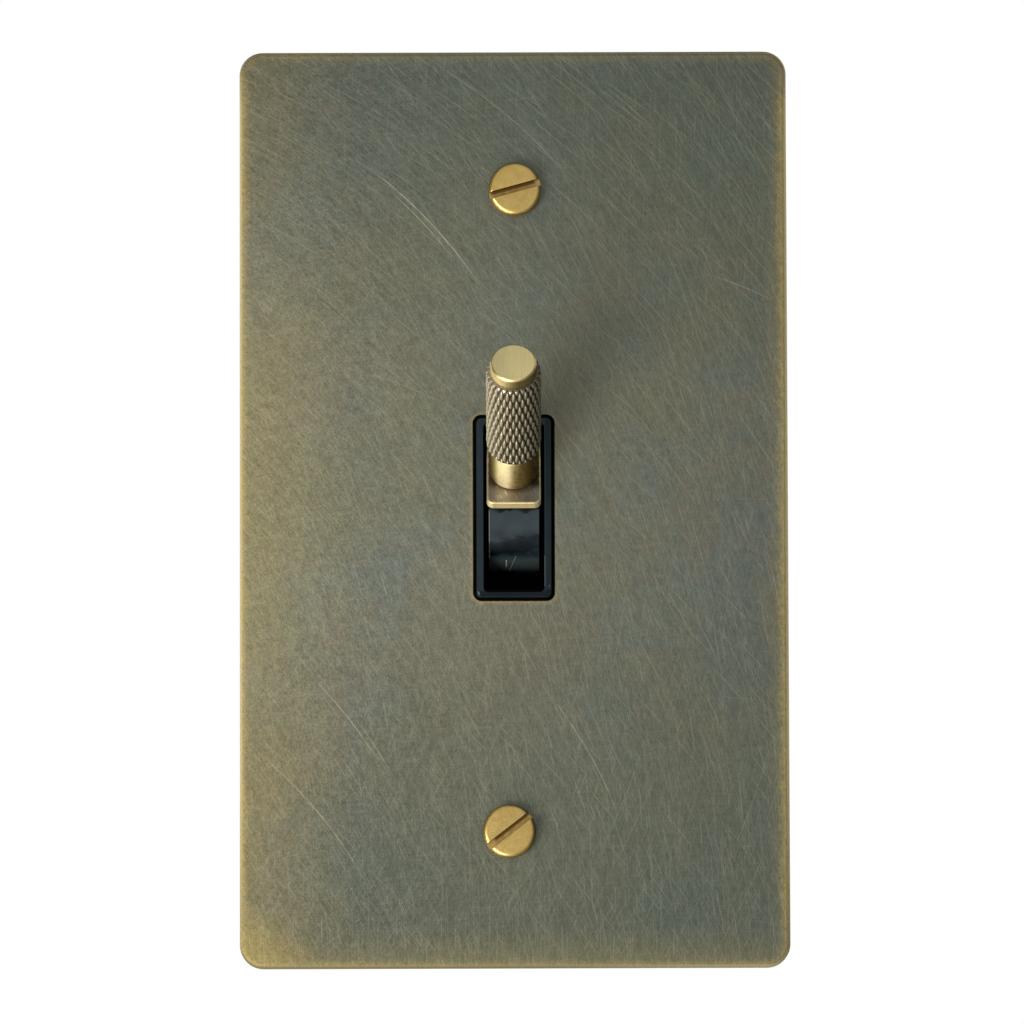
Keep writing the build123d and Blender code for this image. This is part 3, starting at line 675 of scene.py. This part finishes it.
def turned_brass():
    """The knob's plain parts: fine straight brushing on the cap's face, turned lines on the neck."""
    f = Finish("turned_brass")
    lever = f.lever()
    u, v, s = f.split(lever)
    brushed = f.noise(f.join(f.times(u, 9.0), f.times(v, 0.45), f.times(s, 0.45)), detail=3.0)
    turned = f.noise(f.join(f.times(s, 16.0), 0.0, 4.0))
    on_cap = f.between(s, CAP_END - 0.35, CAP_END - 0.05)
    lines = f.add(f.times(brushed, on_cap), f.times(turned, f.minus(1.0, on_cap)))
    stain = f.noise(lever, 1.7, detail=3.0, roughness=0.6)
    color = f.mix(f.between(stain, 0.35, 0.70), (0.74, 0.60, 0.30), (0.62, 0.46, 0.18))
    # painted highlight: the neck pale cream left of its middle, and less metallic there; painted shade:
    # brown towards the right and at the left edge, and nearly black at both edges
    on_neck = f.between(s, GRIP_START + 0.05, GRIP_START - 0.05)
    rubbed = f.between(f.size(f.add(u, 1.35)), 1.7, 0.2)
    brown = f.math("MAXIMUM", f.between(u, -0.8, 2.4), f.between(u, -1.9, -2.8))
    color = f.mix(f.times(rubbed, on_neck, 0.85), color, (0.98, 0.84, 0.48))
    color = f.mix(f.times(brown, on_neck, 0.90), color, (0.19, 0.115, 0.015))
    black = f.math("MAXIMUM", f.between(u, 1.6, 2.9), f.between(u, -2.6, -3.2))
    color = f.mix(f.times(black, on_neck, 0.85), color, (0.03, 0.016, 0.003))
    polish = f.noise(f.vector("ADD", lever, (3, 0, 1)), 0.55, detail=4.0, roughness=0.7)
    polish = f.times(f.between(polish, 0.44, 0.58), f.between(u, -0.4, 1.0, 0.12, 0.75))
    color = f.mix(f.times(polish, on_neck), color, (0.24, 0.145, 0.03))
    # painted shade: the cap's side, below its face, brown-black towards the right
    rim = f.times(f.between(s, GRIP_END - 0.1, GRIP_END), f.minus(1.0, on_cap))
    color = f.mix(f.times(f.between(u, -1.8, 0.8), rim, 0.92), color, (0.12, 0.085, 0.018))
    on_face = f.between(u, -2.8, 0.5, 0.84, 1.04)
    color = f.mix(f.times(on_cap, 0.9), color, f.brighten((0.67, 0.56, 0.265), on_face))
    color = f.brighten(color, f.ramp(lines, 0.3, 0.7, 0.88, 1.10))
    # painted shade where the neck meets the saddle
    root = f.between(s, SADDLE_TOP + 0.5, SADDLE_TOP + 0.1)
    color = f.mix(f.times(root, 0.5), color, (0.20, 0.12, 0.05))
    rough = f.add(f.between(lines, 0.3, 0.7, 0.28, 0.38), f.between(on_cap, 0, 1, 0.12, 0.0))
    rough = f.add(rough, f.times(rim, 0.10))
    return f.done(
        color=color,
        metal=f.between(f.times(rubbed, on_neck), 0, 1, 1.0, 0.75),
        rough=rough,
        normal=f.bump(lines, 0.006, 0.6),
        anisotropy=0.3,
    )


def knurled_brass():
    """Crests rubbed pale, grooves dark with old polish; painted light makes the grip lighter at the
    left and darker at the right, and its grooves paler at the left.
    """
    f = Finish("knurled_brass")
    u, v, s = f.split(f.lever())
    out = f.length(u, v)
    patch = f.noise(f.mm, 0.9, detail=3.0)
    out = f.add(out, f.between(patch, 0.3, 0.7, -0.03, 0.03))
    crest = f.between(out, GRIP_R - 0.25, GRIP_R - 0.05)
    end_face = f.between(s, GRIP_END - 0.12, GRIP_END - 0.02, 0.0, 0.4)
    crest = f.math("MAXIMUM", crest, end_face)
    # painted light: lighter at the left and darker at the right
    shade = f.between(u, -2.5, 3.4, 1.15, 0.50)
    # painted light: the grooves paler at the left, where the light reaches into them
    groove = f.mix(f.between(u, -0.6, -3.2), (0.065, 0.050, 0.026), (0.17, 0.14, 0.095))
    color = f.mix(crest, groove, (0.57, 0.50, 0.36))
    color = f.brighten(color, shade)
    grain = f.noise(f.mm, 0.12)
    color = f.brighten(color, f.ramp(grain, 0.25, 0.75, 0.90, 1.10))
    rough = f.ramp(crest, 0, 1, 0.60, 0.38)
    return f.done(color=color, metal=0.95, rough=rough, normal=f.bump(grain, 0.008, 0.5))


def saddle_brass():
    """Mauve-brown patina with slanting rubs, and golden edges, with painted shade round the neck and a
    painted shadow of the neck beside it.
    """
    f = Finish("saddle_brass")
    lever = f.lever()
    u, v, s = f.split(lever)
    edge = f.box_distance(u, v, SADDLE_HALF_W, SADDLE_HALF_L, SADDLE_CORNER_R)
    ragged = f.noise(f.mm, 0.35, detail=3.0)
    edge = f.add(edge, f.ramp(ragged, 0.2, 0.8, -0.10, 0.10))
    rim = f.between(edge, -0.30, -0.08)
    side = f.between(s, SADDLE_TOP - 0.02, SADDLE_TOP - 0.18)
    across = f.add(f.times(u, 3.5), f.times(v, 1.9))
    along = f.add(f.times(v, 0.35), f.times(u, -0.5))
    slant = f.noise(f.join(across, along, 2.0))
    cloud = f.noise(lever, 1.4, detail=3.0, roughness=0.6)
    color = f.mix(f.between(cloud, 0.35, 0.65), (0.215, 0.180, 0.152), (0.250, 0.235, 0.182))
    color = f.mix(f.between(slant, 0.58, 0.74, 0, 0.7), color, (0.60, 0.55, 0.45))
    # painted shade round the neck's root
    near_neck = f.between(f.length(u, v), NECK_R + 0.9, NECK_R + 0.1)
    color = f.mix(f.times(near_neck, 0.55), color, (0.10, 0.070, 0.045))
    # painted shadow of the neck on the saddle, darkest at the right
    beside = f.times(f.between(f.size(u), 1.9, 2.5), f.between(v, -3.4, -2.0))
    color = f.mix(f.times(beside, f.between(u, -1, 1, 0.55, 0.92)), color, (0.028, 0.017, 0.006))
    color = f.mix(f.times(rim, 0.75), color, (0.74, 0.60, 0.30))
    color = f.mix(side, color, (0.70, 0.56, 0.27))
    metal = f.between(side, 0, 1, 0.92, 0.80)
    rough = f.between(slant, 0.4, 0.7, 0.52, 0.40)
    return f.done(color=color, metal=metal, rough=rough, normal=f.bump(slant, 0.008, 0.5))


def terminal_brass():
    f = Finish("terminal_brass")
    rolled = f.noise(f.vector("MULTIPLY", f.mm, (0.6, 7.0, 0.5)), detail=3.0)
    cloud = f.noise(f.mm, 3.0, detail=3.0, roughness=0.6)
    color = f.mix(f.between(cloud, 0.35, 0.7), (0.74, 0.56, 0.22), (0.60, 0.40, 0.14))
    color = f.brighten(color, f.ramp(rolled, 0.3, 0.7, 0.90, 1.08))
    # painted shade: nearly black and rougher behind the slit over the toggle's barrel, deep inside the
    # housing
    inner_shade = f.times(f.between(f.length(f.x, f.minus(f.z, 8)), 8, 6), 0.94)
    inner_shade = f.times(inner_shade, f.between(f.y, 22, 19))
    color = f.mix(inner_shade, color, (0.040, 0.026, 0.014))
    rough = f.add(f.between(rolled, 0.3, 0.7, 0.22, 0.34), f.times(inner_shade, 0.3))
    normal = f.bump(rolled, 0.008, 0.5, f.round_edges(0.12))
    return f.done(color=color, metal=1.0, rough=rough, normal=normal)


# ---- steels ----
# two colours, roughness, how fine the brushing is along X, Y and Z, and the size of the spangle
STEELS = {
    "zinc_steel": ((0.66, 0.68, 0.70), (0.52, 0.54, 0.56), 0.34, (0.5, 3.0, 6.0), 1.6),
    "spring_steel": ((0.40, 0.41, 0.43), (0.28, 0.28, 0.30), 0.26, (2.0, 5.0, 0.6), 0.8),
    "bright_steel": ((0.72, 0.72, 0.73), (0.62, 0.62, 0.64), 0.20, (0.6, 5.0, 5.0), 0.5),
    "blackened_steel": ((0.010, 0.010, 0.011), (0.016, 0.016, 0.018), 0.45, (0.6, 5.0, 5.0), 0.5),
}


def steel(name, color_a, color_b, rough, brush, grain_size):
    f = Finish(name)
    brushed = f.noise(f.vector("MULTIPLY", f.mm, brush), detail=3.0)
    spangle = f.noise(f.mm, grain_size, detail=3.0, roughness=0.6)
    color = f.mix(f.between(spangle, 0.35, 0.65), color_a, color_b)
    color = f.brighten(color, f.ramp(brushed, 0.3, 0.7, 0.90, 1.08))
    rough = f.between(f.add(brushed, spangle), 0.7, 1.3, rough - 0.05, rough + 0.08)
    normal = f.bump(brushed, 0.008, 0.5, f.round_edges(0.1))
    return f.done(color=color, metal=1.0, rough=rough, normal=normal)


def green_steel():
    f = Finish("green_steel")
    cloud = f.noise(f.mm, 0.9, detail=3.0, roughness=0.6)
    color = f.mix(f.between(cloud, 0.35, 0.7), (0.02, 0.24, 0.09), (0.05, 0.36, 0.14))
    rough = f.between(cloud, 0.3, 0.7, 0.28, 0.42)
    return f.done(color=color, metal=0.75, rough=rough, normal=f.bump(cloud, 0.006, 0.4))


# ---- plastics and fibre ----
def glossy_black(name):
    """Colour, roughness and normal of a glossy black moulding with hairlines and a little dust."""
    f = Finish(name)
    hairs = f.swept((-30, -80), 0.10, 4.0, 2.5)
    cloud = f.noise(f.mm, 2.4, detail=3.0, roughness=0.6)
    dust = f.noise(f.mm, 0.10, detail=1.0)
    color = f.mix(f.between(cloud, 0.35, 0.65), (0.003, 0.0065, 0.0085), (0.005, 0.0095, 0.0120))
    color = f.mix(f.between(hairs, 0.68, 0.80, 0, 0.10), color, (0.08, 0.10, 0.11))
    color = f.mix(f.between(dust, 0.77, 0.85, 0, 0.25), color, (0.25, 0.26, 0.25))
    rough = f.add(f.between(cloud, 0.3, 0.7, 0.10, 0.16), f.between(hairs, 0.6, 0.8, 0, 0.05))
    ripple = f.noise(f.mm, 3.5, detail=1.0)
    normal = f.bump(hairs, 0.004, 0.12, f.bump(ripple, 0.05, 0.25))
    return f, color, rough, normal


# nicks and painted glints in the two glossy blacks, in the front view: start, end, width, strength
BARREL_NICKS_AND_GLINTS = [
    ((-1.0, -6.7), (-1.0, -7.4), 0.08, 1.0),
    ((0.25, -6.2), (-0.55, -7.75), 0.06, 0.35),
    # painted glints along the barrel's left edge
    ((-3.18, -5.5), (-3.18, -6.3), 0.10, 1.0),
    ((-3.18, -0.3), (-3.18, -5.5), 0.07, 0.30),
]
COLLAR_GLINTS = [
    # painted glints on the collar's edges
    ((-4.63, -10.95), (-4.50, -11.25), 0.12, 1.0),
    ((3.98, -6.3), (3.98, -10.2), 0.06, 0.3),
    ((4.55, -10.1), (4.55, -10.3), 0.08, 0.3),
]
SHADE_BLACK = (0.0012, 0.0015, 0.0018)


def drawn_strokes(f, nicks):
    return strongest(f, (f.times(f.stroke(*line), strength) for *line, strength in nicks))


def black_gloss():
    """The barrel's black, with small nicks and painted glints on its round front, a painted light band
    low on it, and painted shade.
    """
    f, color, rough, normal = glossy_black("black_gloss")
    front = f.between(f.y, 2.0, 1.0)
    # the barrel's scratches and its painted glints
    nick = f.times(drawn_strokes(f, BARREL_NICKS_AND_GLINTS), front)
    # painted reflection: a faint lighter band low on the barrel's front
    lit_band = f.times(f.between(f.z, -8.3, -7.3), f.between(f.z, -5.9, -6.9))
    color = f.mix(f.times(lit_band, front, 0.8), color, (0.030, 0.038, 0.036))
    color = f.mix(f.times(nick, 0.8), color, (0.34, 0.36, 0.37))
    # painted shade, dull and black: a ragged band under the saddle, a slanting band across the front,
    # and the boss at each side
    ragged = f.noise(f.vector("MULTIPLY", f.mm, (1, 1, 2)), 1.3, detail=3.0)
    under = f.add(f.z, f.ramp(ragged, 0.3, 0.7, -0.45, 0.45))
    under = f.times(f.between(under, -0.75, -0.25), f.between(f.y, -1.0, -1.8))
    boss = f.between(f.size(f.x), BARREL_HALF_W + 0.01, BARREL_HALF_W + 0.05)
    slanted = f.add(f.z, f.add(f.times(f.x, -0.15), f.between(ragged, 0.3, 0.7, -0.2, 0.2)))
    dark_band = f.times(f.between(slanted, -3.6, -4.3), f.between(slanted, -6.1, -5.4))
    dull = strongest(f, [f.times(under, 0.75), f.times(dark_band, front, 0.55), boss])
    color = f.mix(dull, color, SHADE_BLACK)
    return f.done(
        color=color,
        metal=dull,
        rough=f.add(rough, 0.10),
        normal=normal,
        specular=0.70,
        tint=(0.84, 0.96, 1.0),
    )


def black_collar():
    """The same black, with painted shade that swallows all light down inside the lever's channel, on
    the collar's outer rounding and inner lip, and darker at its right side and bottom edge; its light
    marks are painted glints.
    """
    f, color, rough, normal = glossy_black("black_collar")
    inside = f.box_distance(f.x, f.z, CHANNEL_HALF_W, CHANNEL_HALF_H, 0.5)
    # painted shade: black all down inside the channel
    sunk = f.times(f.between(f.y, -3.1, -2.3), f.between(f.y, 7.6, 7.4))
    sunk = f.times(sunk, f.between(inside, 0.5, 0.4))
    # painted shade on the outer rounding, at the inner lip, a little over the front, and most at the
    # right side and the bottom edge
    outline = f.box_distance(f.x, f.z, COLLAR_GAP_W / 2 - 0.1, COLLAR_GAP_H / 2 - 0.1, 1.0)
    rounding = f.times(f.between(outline, -0.50, -0.30), f.between(f.y, -2.0, -2.2))
    lip = f.box_distance(f.x, f.z, CHANNEL_HALF_W + 0.10, CHANNEL_HALF_H + 0.33, 0.6)
    lip = f.between(lip, 0.06, -0.02)
    duller = f.add(f.between(f.x, 3.9, 4.3, 0.10, 0.42), f.between(f.z, -10.6, -11.0, 0, 0.55))
    duller = f.times(f.math("MINIMUM", duller, 0.7), f.between(f.y, -2.9, -3.1))
    # painted glints
    nick = f.times(drawn_strokes(f, COLLAR_GLINTS), f.between(f.y, -2.9, -3.0))
    color = f.mix(nick, color, (0.36, 0.38, 0.38))
    dulls = strongest(f, [rounding, lip, duller])
    sunk = f.math("MAXIMUM", sunk, f.times(dulls, f.between(f.y, -1.9, -2.0)))
    return f.done(
        color=f.mix(sunk, color, SHADE_BLACK),
        metal=sunk,
        rough=f.add(rough, f.times(sunk, 0.4)),
        normal=normal,
        specular=0.44,
        tint=(0.76, 0.94, 1.0),
    )


def black_satin():
    f = Finish("black_satin")
    grain = f.noise(f.mm, 0.28, detail=3.0, roughness=0.6)
    flow = f.noise(f.vector("MULTIPLY", f.mm, (0.12, 0.5, 0.08)), detail=3.0, distortion=0.6)
    color = f.mix(f.between(flow, 0.35, 0.65), (0.012, 0.012, 0.013), (0.022, 0.022, 0.024))
    rough = f.between(flow, 0.3, 0.7, 0.40, 0.52)
    normal = f.bump(grain, 0.03, 0.35, f.round_edges(0.2))
    return f.done(color=color, metal=0.0, rough=rough, normal=normal)


def red_fibre():
    f = Finish("red_fibre")
    fibres = f.noise(f.vector("MULTIPLY", f.mm, (1.0, 6.0, 3.0)), detail=4.0, distortion=1.2)
    color = f.mix(f.between(fibres, 0.3, 0.7), (0.22, 0.035, 0.02), (0.42, 0.10, 0.06))
    return f.done(color=color, metal=0.0, rough=0.75, normal=f.bump(fibres, 0.03, 0.5))


def contact_silver():
    f = Finish("contact_silver")
    burr = f.noise(f.mm, 0.25, detail=3.0, roughness=0.6)
    color = f.mix(f.between(burr, 0.35, 0.7), (0.84, 0.83, 0.80), (0.62, 0.60, 0.56))
    rough = f.between(burr, 0.3, 0.7, 0.22, 0.36)
    return f.done(color=color, metal=1.0, rough=rough, normal=f.bump(burr, 0.008, 0.5))


FINISHES = (
    antique_brass, screw_brass, saddle_brass, turned_brass, knurled_brass, terminal_brass,
    black_gloss, black_collar, black_satin, red_fibre, green_steel, contact_silver,
)
MATERIALS = {finish.__name__: finish() for finish in FINISHES}
for name, look in STEELS.items():
    MATERIALS[name] = steel(name, *look)

# nodes with a look of their own within their slot
LOOKS = {"housing_cover": "black_collar", "pivot_pin": "blackened_steel"}

SLOTS = {subpart["node"]: subpart["material_slot"] for subpart in frame["record"]["subparts"]}

for node, slot in SLOTS.items():
    mesh = nodes[node].data
    mesh.materials.clear()
    mesh.materials.append(MATERIALS[LOOKS.get(node, slot)])


# ---- the knob ----
lever_place = Place(PIVOT, LEVER_AXIS)

KNURL_STARTS = 26
KNURL_PITCH_MM = 2.9
KNURL_DEPTH_MM = 0.36
COLUMNS_PER_DIAMOND = 14
ROWS_PER_DIAMOND = 28


def knurl(angle, along, radius):
    """Two sets of grooves that cross, deepest where they meet, and leave oval beads."""
    turns = KNURL_STARTS * angle / TAU
    climb = (along - GRIP_START) / KNURL_PITCH_MM
    off = [np.abs(2 * (groove - np.floor(groove)) - 1) for groove in (turns + climb, turns - climb)]
    depth = KNURL_DEPTH_MM * np.minimum(np.hypot(*off) / 1.12, 1) ** 2.5
    outside = radius > CORE_R + 0.5
    return np.where(outside, np.minimum(radius, GRIP_R - depth), radius)


def make_grip():
    end_r = GRIP_R - 0.42
    rows = [(GRIP_START, CORE_R + 0.01), (GRIP_START, end_r - 0.15), (GRIP_START + 0.04, end_r)]
    step = KNURL_PITCH_MM / ROWS_PER_DIAMOND
    count = int(round((GRIP_END - GRIP_START - 0.08) / step))
    for s in np.linspace(GRIP_START + 0.08, GRIP_END - 0.04, count):
        low_end = end_r + 0.42 * min(1, (s - GRIP_START) / 0.7) ** 0.55
        high_end = GRIP_R - 0.22 * max(0, 1 - (GRIP_END - s) / 0.3) ** 1.5
        rows.append((s, min(low_end, high_end)))
    rows += [(GRIP_END, GRIP_R - 0.30), (GRIP_END, CORE_R + 0.01)]
    segments = KNURL_STARTS * COLUMNS_PER_DIAMOND
    return spin("knurled_sleeve", lever_place, rows, segments, knurl, ring=True, sharp_degrees=60)


def make_core():
    profile = [(SADDLE_TOP, 0), (SADDLE_TOP, NECK_R - 0.16), (SADDLE_TOP + 0.22, NECK_R)]
    profile += [(GRIP_START, NECK_R), (GRIP_START, CORE_R), (GRIP_END, CORE_R), (GRIP_END, 0)]
    return spin("knob_neck", lever_place, softened(profile, 0.07), 128)


def make_cap():
    profile = [(GRIP_END, 0), (GRIP_END, CAP_R - 0.12), (GRIP_END + 0.12, CAP_R)]
    profile += [(CAP_END - 0.36, CAP_R), (CAP_END, CAP_R - 0.20), (CAP_END, 0)]
    return spin("knob_end_cap", lever_place, softened(profile, 0.18, steps=6), 128)


stand_in(make_grip(), "toggle", "knurled_grip")
stand_in(make_core(), "toggle", "knob_core")
stand_in(make_cap(), "toggle", "knob_cap")


# ---- threaded fasteners ----
def rounded_rim(radius, corner):
    """Rows of a head's rounded rim, from its flat end outward."""
    return [
        (corner * (1 - math.cos(t)), radius - corner * (1 - math.sin(t)))
        for t in np.linspace(0, math.pi / 2, 7)
    ]


def shank(start, tip, radius, chamfer, pitch):
    """Rows of a shank, close enough together for its thread, up to a chamfered tip."""
    return stretch(start, tip - chamfer, radius, pitch / 10) + [(tip, radius - chamfer), (tip, 0)]


def make_plate_screw(which):
    """Slotted cheese-head screw with a real thread behind its neck."""
    x, side, turn = SCREWS[which]
    z = SCREW_MID_Z + side * SCREW_SPACING / 2
    place = Place(Vector((x, SCREW_TOP, z)) * MM, (0, 1, 0))
    rows = [(0, 0), *rounded_rim(SCREW_HEAD_R, 0.58)]
    rows += [(SCREW_HEAD_T - 0.1, SCREW_HEAD_R), (SCREW_HEAD_T, SCREW_HEAD_R - 0.1)]
    rows += [(SCREW_HEAD_T, SCREW_NECK_R), (SCREW_THREAD_START - 0.3, SCREW_NECK_R)]
    rows += shank(SCREW_THREAD_START, SCREW_TIP, SCREW_R, 0.6, INCH_THREAD_PITCH)
    shape = thread(INCH_THREAD_PITCH, 0.40, SCREW_THREAD_START - 0.01, SCREW_TIP - 0.4, SCREW_R)
    screw = spin(f"plate_screw_{which}_turned", place, rows, 96, shape)
    # seen along +Y, X runs right and the second direction of the place runs down
    saw_slot(screw, place, -turn, width=0.9, depth=SCREW_SLOT_DEPTH, head_r=SCREW_HEAD_R)
    return screw


def make_stud(side):
    """Threaded stud with a flange, on the back of the plate."""
    place = Place(Vector((0, 0, side * STUD_SPACING / 2)) * MM, (0, 1, 0))
    pitch = 0.5
    rows = [(STUD_BACK, 0), (STUD_BACK, STUD_FLANGE_R), (STUD_SEAT, STUD_FLANGE_R), (STUD_SEAT, STUD_R)]
    rows += shank(STUD_SEAT + 0.1, STUD_TIP, STUD_R, 0.4, pitch)
    shape = thread(pitch, 0.26, STUD_SEAT + 0.2, STUD_TIP - 0.2, STUD_R)
    return spin("stud", place, rows, 72, shape)


def make_terminal_screw(side, turn):
    """Slotted binding-head screw that points inward along X."""
    head = Vector((TERMINAL_HEAD_X, TERMINAL_SCREW_Y, side * TERMINAL_Z)) * MM
    place = Place(head, (-1, 0, 0), (0, 1, 0))
    length = TERMINAL_HEAD_X - TERMINAL_TIP_X
    rows = [(0, 0), *rounded_rim(TERMINAL_HEAD_R, 0.6)]
    rows += [(TERMINAL_HEAD_T, TERMINAL_HEAD_R), (TERMINAL_HEAD_T, TERMINAL_SCREW_R)]
    rows += shank(TERMINAL_HEAD_T + 0.1, length, TERMINAL_SCREW_R, 0.5, INCH_THREAD_PITCH)
    shape = thread(INCH_THREAD_PITCH, 0.42, TERMINAL_HEAD_T + 0.2, length - 0.2, TERMINAL_SCREW_R)
    screw = spin("terminal_screw", place, rows, 96, shape)
    saw_slot(screw, place, -turn, width=1.1, depth=1.1, head_r=TERMINAL_HEAD_R)
    return screw


def make_ground_screw():
    """Hexagonal washer-head screw with a slot, through the strap's tab."""
    place = Place(Vector((GROUND_HEAD_X, GROUND_Y, GROUND_Z)) * MM, (1, 0, 0), (0, 1, 0))
    corner_r = GROUND_FLATS / 2 / math.cos(math.radians(30))
    flange = GROUND_HEAD_T - 0.8
    start, end = GROUND_HEAD_T + 0.2, GROUND_LENGTH - 0.2
    cut = thread(INCH_THREAD_PITCH, 0.42, start, end, TERMINAL_SCREW_R)

    def shape(angle, along, radius):
        from_flat = np.mod(angle, TAU / 6) - TAU / 12
        hexagon = GROUND_FLATS / 2 / np.cos(from_flat)
        return np.where(along <= flange, np.minimum(radius, hexagon), cut(angle, along, radius))

    rows = [(0, 0), (0, corner_r - 0.45), (0.25, corner_r), (flange, corner_r)]
    rows += [(flange + 0.01, GROUND_FLANGE_R - 0.1), (flange + 0.12, GROUND_FLANGE_R)]
    rows += [(GROUND_HEAD_T, GROUND_FLANGE_R), (GROUND_HEAD_T, TERMINAL_SCREW_R)]
    rows += shank(GROUND_HEAD_T + 0.1, GROUND_LENGTH, TERMINAL_SCREW_R, 0.5, INCH_THREAD_PITCH)
    screw = spin("ground_screw_turned", place, rows, 96, shape)
    saw_slot(screw, place, 20, width=1.0, depth=1.0, head_r=GROUND_FLANGE_R)
    return screw


for which in SCREWS:
    stand_in(make_plate_screw(which), "mounted_body", f"plate_screw_{which}")
studs = join("threaded_studs", [make_stud(side) for side in (1, -1)])
stand_in(studs, "mounted_body", "plate_studs")
terminal_screws = join("binding_screws", [make_terminal_screw(1, 70), make_terminal_screw(-1, 25)])
stand_in(terminal_screws, "mounted_body", "terminal_screws")
stand_in(make_ground_screw(), "mounted_body", "ground_screw")


# ---- contact spring ----
SPRING_SEAT_MM = (1.75, 20.1, -6.0)
SPRING_LENGTH_MM = 8.0
SPRING_WIRE_R_MM, SPRING_R_MM = 0.18, 1.25
SPRING_TURNS, SPRING_CLOSED_TURNS = 7.5, 1.0


def make_contact_spring():
    """Compression coil with closed ends."""
    steps, around = int(SPRING_TURNS * 36), 12
    place = Place(Vector(SPRING_SEAT_MM) * MM, (0, -1, 0))
    turn = np.linspace(0, SPRING_TURNS, steps)
    wire, closed = SPRING_WIRE_R_MM, SPRING_CLOSED_TURNS
    climb, closed_rise = SPRING_LENGTH_MM - 2 * wire, 2.1 * wire
    open_rise = (climb - 2 * closed_rise * closed) / (SPRING_TURNS - 2 * closed)
    rise = np.where((turn < closed) | (turn > SPRING_TURNS - closed), closed_rise, open_rise)
    height = np.concatenate(([0], np.cumsum((rise[1:] + rise[:-1]) / 2 * np.diff(turn))))
    height = wire + height / height[-1] * climb
    rings = []
    for t, h in zip(turn * TAU, height):
        for a in np.linspace(0, TAU, around, endpoint=False):
            radius = SPRING_R_MM + wire * math.cos(a)
            u, v = radius * math.cos(t), radius * math.sin(t)
            rings.append(place.points(u, v, h + wire * math.sin(a)))
    faces = []
    for i in range(steps - 1):
        for k in range(around):
            n = (k + 1) % around
            a, b = i * around, (i + 1) * around
            faces.append((b + k, b + n, a + n, a + k))
    faces.append(tuple(range(around)))
    faces.append(tuple(reversed(range((steps - 1) * around, steps * around))))
    return new_piece("contact_spring_coil", rings, faces, 60)


spring = stand_in(make_contact_spring(), "mounted_body", "contact_spring")
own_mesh(spring)


# ---- studio ----
# light from the room in front, round the sides, and behind
FRONT_LEVEL, DARK_LEVEL, BACK_LEVEL = 0.68, 0.16, 0.45


def make_floor():
    west, east, south, north, level = -1.2, 1.2, -0.12, 1.8, -0.9
    corners = [(west, south, level), (east, south, level), (east, north, level), (west, north, level)]
    floor = new_piece("floor", corners, [(0, 1, 2, 3)])
    f = Finish("pale_floor")
    cloud = f.noise(f.mm, 400.0)
    color = f.mix(cloud, (0.78, 0.78, 0.77), (0.82, 0.82, 0.81))
    floor.data.materials.append(f.done(color=color, metal=0.0, rough=0.8))
    floor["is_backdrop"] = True


def make_world():
    """White behind the object; for its light, a room that is bright in front and dark at the sides."""
    world = bpy.data.worlds.new("studio")
    bpy.context.scene.world = world
    w = NodeTree(world)
    x, y, z = w.split(w.node("ShaderNodeTexCoord").outputs["Generated"])
    between_walls = w.between(w.size(x), 0.40, 0.75, 1.0, 0.0)
    front = w.times(between_walls, w.between(y, 0.05, -0.35, 0.0, FRONT_LEVEL))
    front = w.times(front, w.between(z, -0.79, -0.55, 0.08, 1.0))
    back = w.between(y, 0.1, 0.6, DARK_LEVEL, BACK_LEVEL)
    strength = w.add(front, back)
    room = w.node("ShaderNodeBackground", {"Color": (0.98, 0.99, 1.0, 1), "Strength": strength})
    white = w.node("ShaderNodeBackground", {"Color": (1, 1, 1, 1)})
    seen = w.node("ShaderNodeLightPath").outputs["Is Camera Ray"]
    mix = w.node("ShaderNodeMixShader", {0: seen, 1: room.outputs[0], 2: white.outputs[0]})
    w.node("ShaderNodeOutputWorld", {"Surface": mix.outputs[0]})


def make_light(name, position, size, power):
    """A softbox that faces the switch."""
    light = bpy.data.lights.new(name, "AREA")
    light.shape, light.size, light.size_y = "RECTANGLE", size[0], size[1]
    light.energy = power
    holder = new_object(name, light)
    holder.location = position
    holder.rotation_mode = "QUATERNION"
    holder.rotation_quaternion = (-Vector(position)).to_track_quat("-Z", "Y")


make_floor()
make_world()
make_light("key_lower_left", (-0.485, -0.60, -0.30), (0.36, 0.30), 6.3)
make_light("low_left", (-0.24, -0.30, -0.46), (0.28, 0.28), 2.5)
make_light("rear_left", (-0.9, 0.8, 0.3), (0.7, 0.7), 6.0)
make_light("rear_right", (0.9, 0.8, 0.6), (0.7, 0.7), 6.0)


# ---- camera ----
CAMERA_DISTANCE = 1.2
CAMERA_BELOW = math.radians(5.0)
CAMERA_ROLL = math.radians(0.17)
# the middle of the view, on the plate's front, and how wide the view is there
AIM_MM = Vector((-0.243, -PLATE_T, -0.55))
VIEW_WIDTH_MM = 132.52


def make_camera():
    data = bpy.data.cameras.new("camera")
    data.sensor_width = 36.0
    data.lens = data.sensor_width * CAMERA_DISTANCE / (VIEW_WIDTH_MM * MM)
    data.clip_start, data.clip_end = 0.05, 50
    camera = new_object("camera", data)
    look = Vector((0, math.cos(CAMERA_BELOW), math.sin(CAMERA_BELOW)))
    camera.location = AIM_MM * MM - look * CAMERA_DISTANCE
    camera.rotation_mode = "QUATERNION"
    roll = Matrix.Rotation(-CAMERA_ROLL, 4, "Z").to_quaternion()
    camera.rotation_quaternion = look.to_track_quat("-Z", "Y") @ roll
    bpy.context.scene.camera = camera


make_camera()
bpy.context.scene.view_settings.view_transform = "Standard"
bpy.context.scene.view_settings.look = "None"

boxes = {"cad": cad_box, "visual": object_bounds()}
{name: [list(corner) for corner in box] for name, box in boxes.items()}
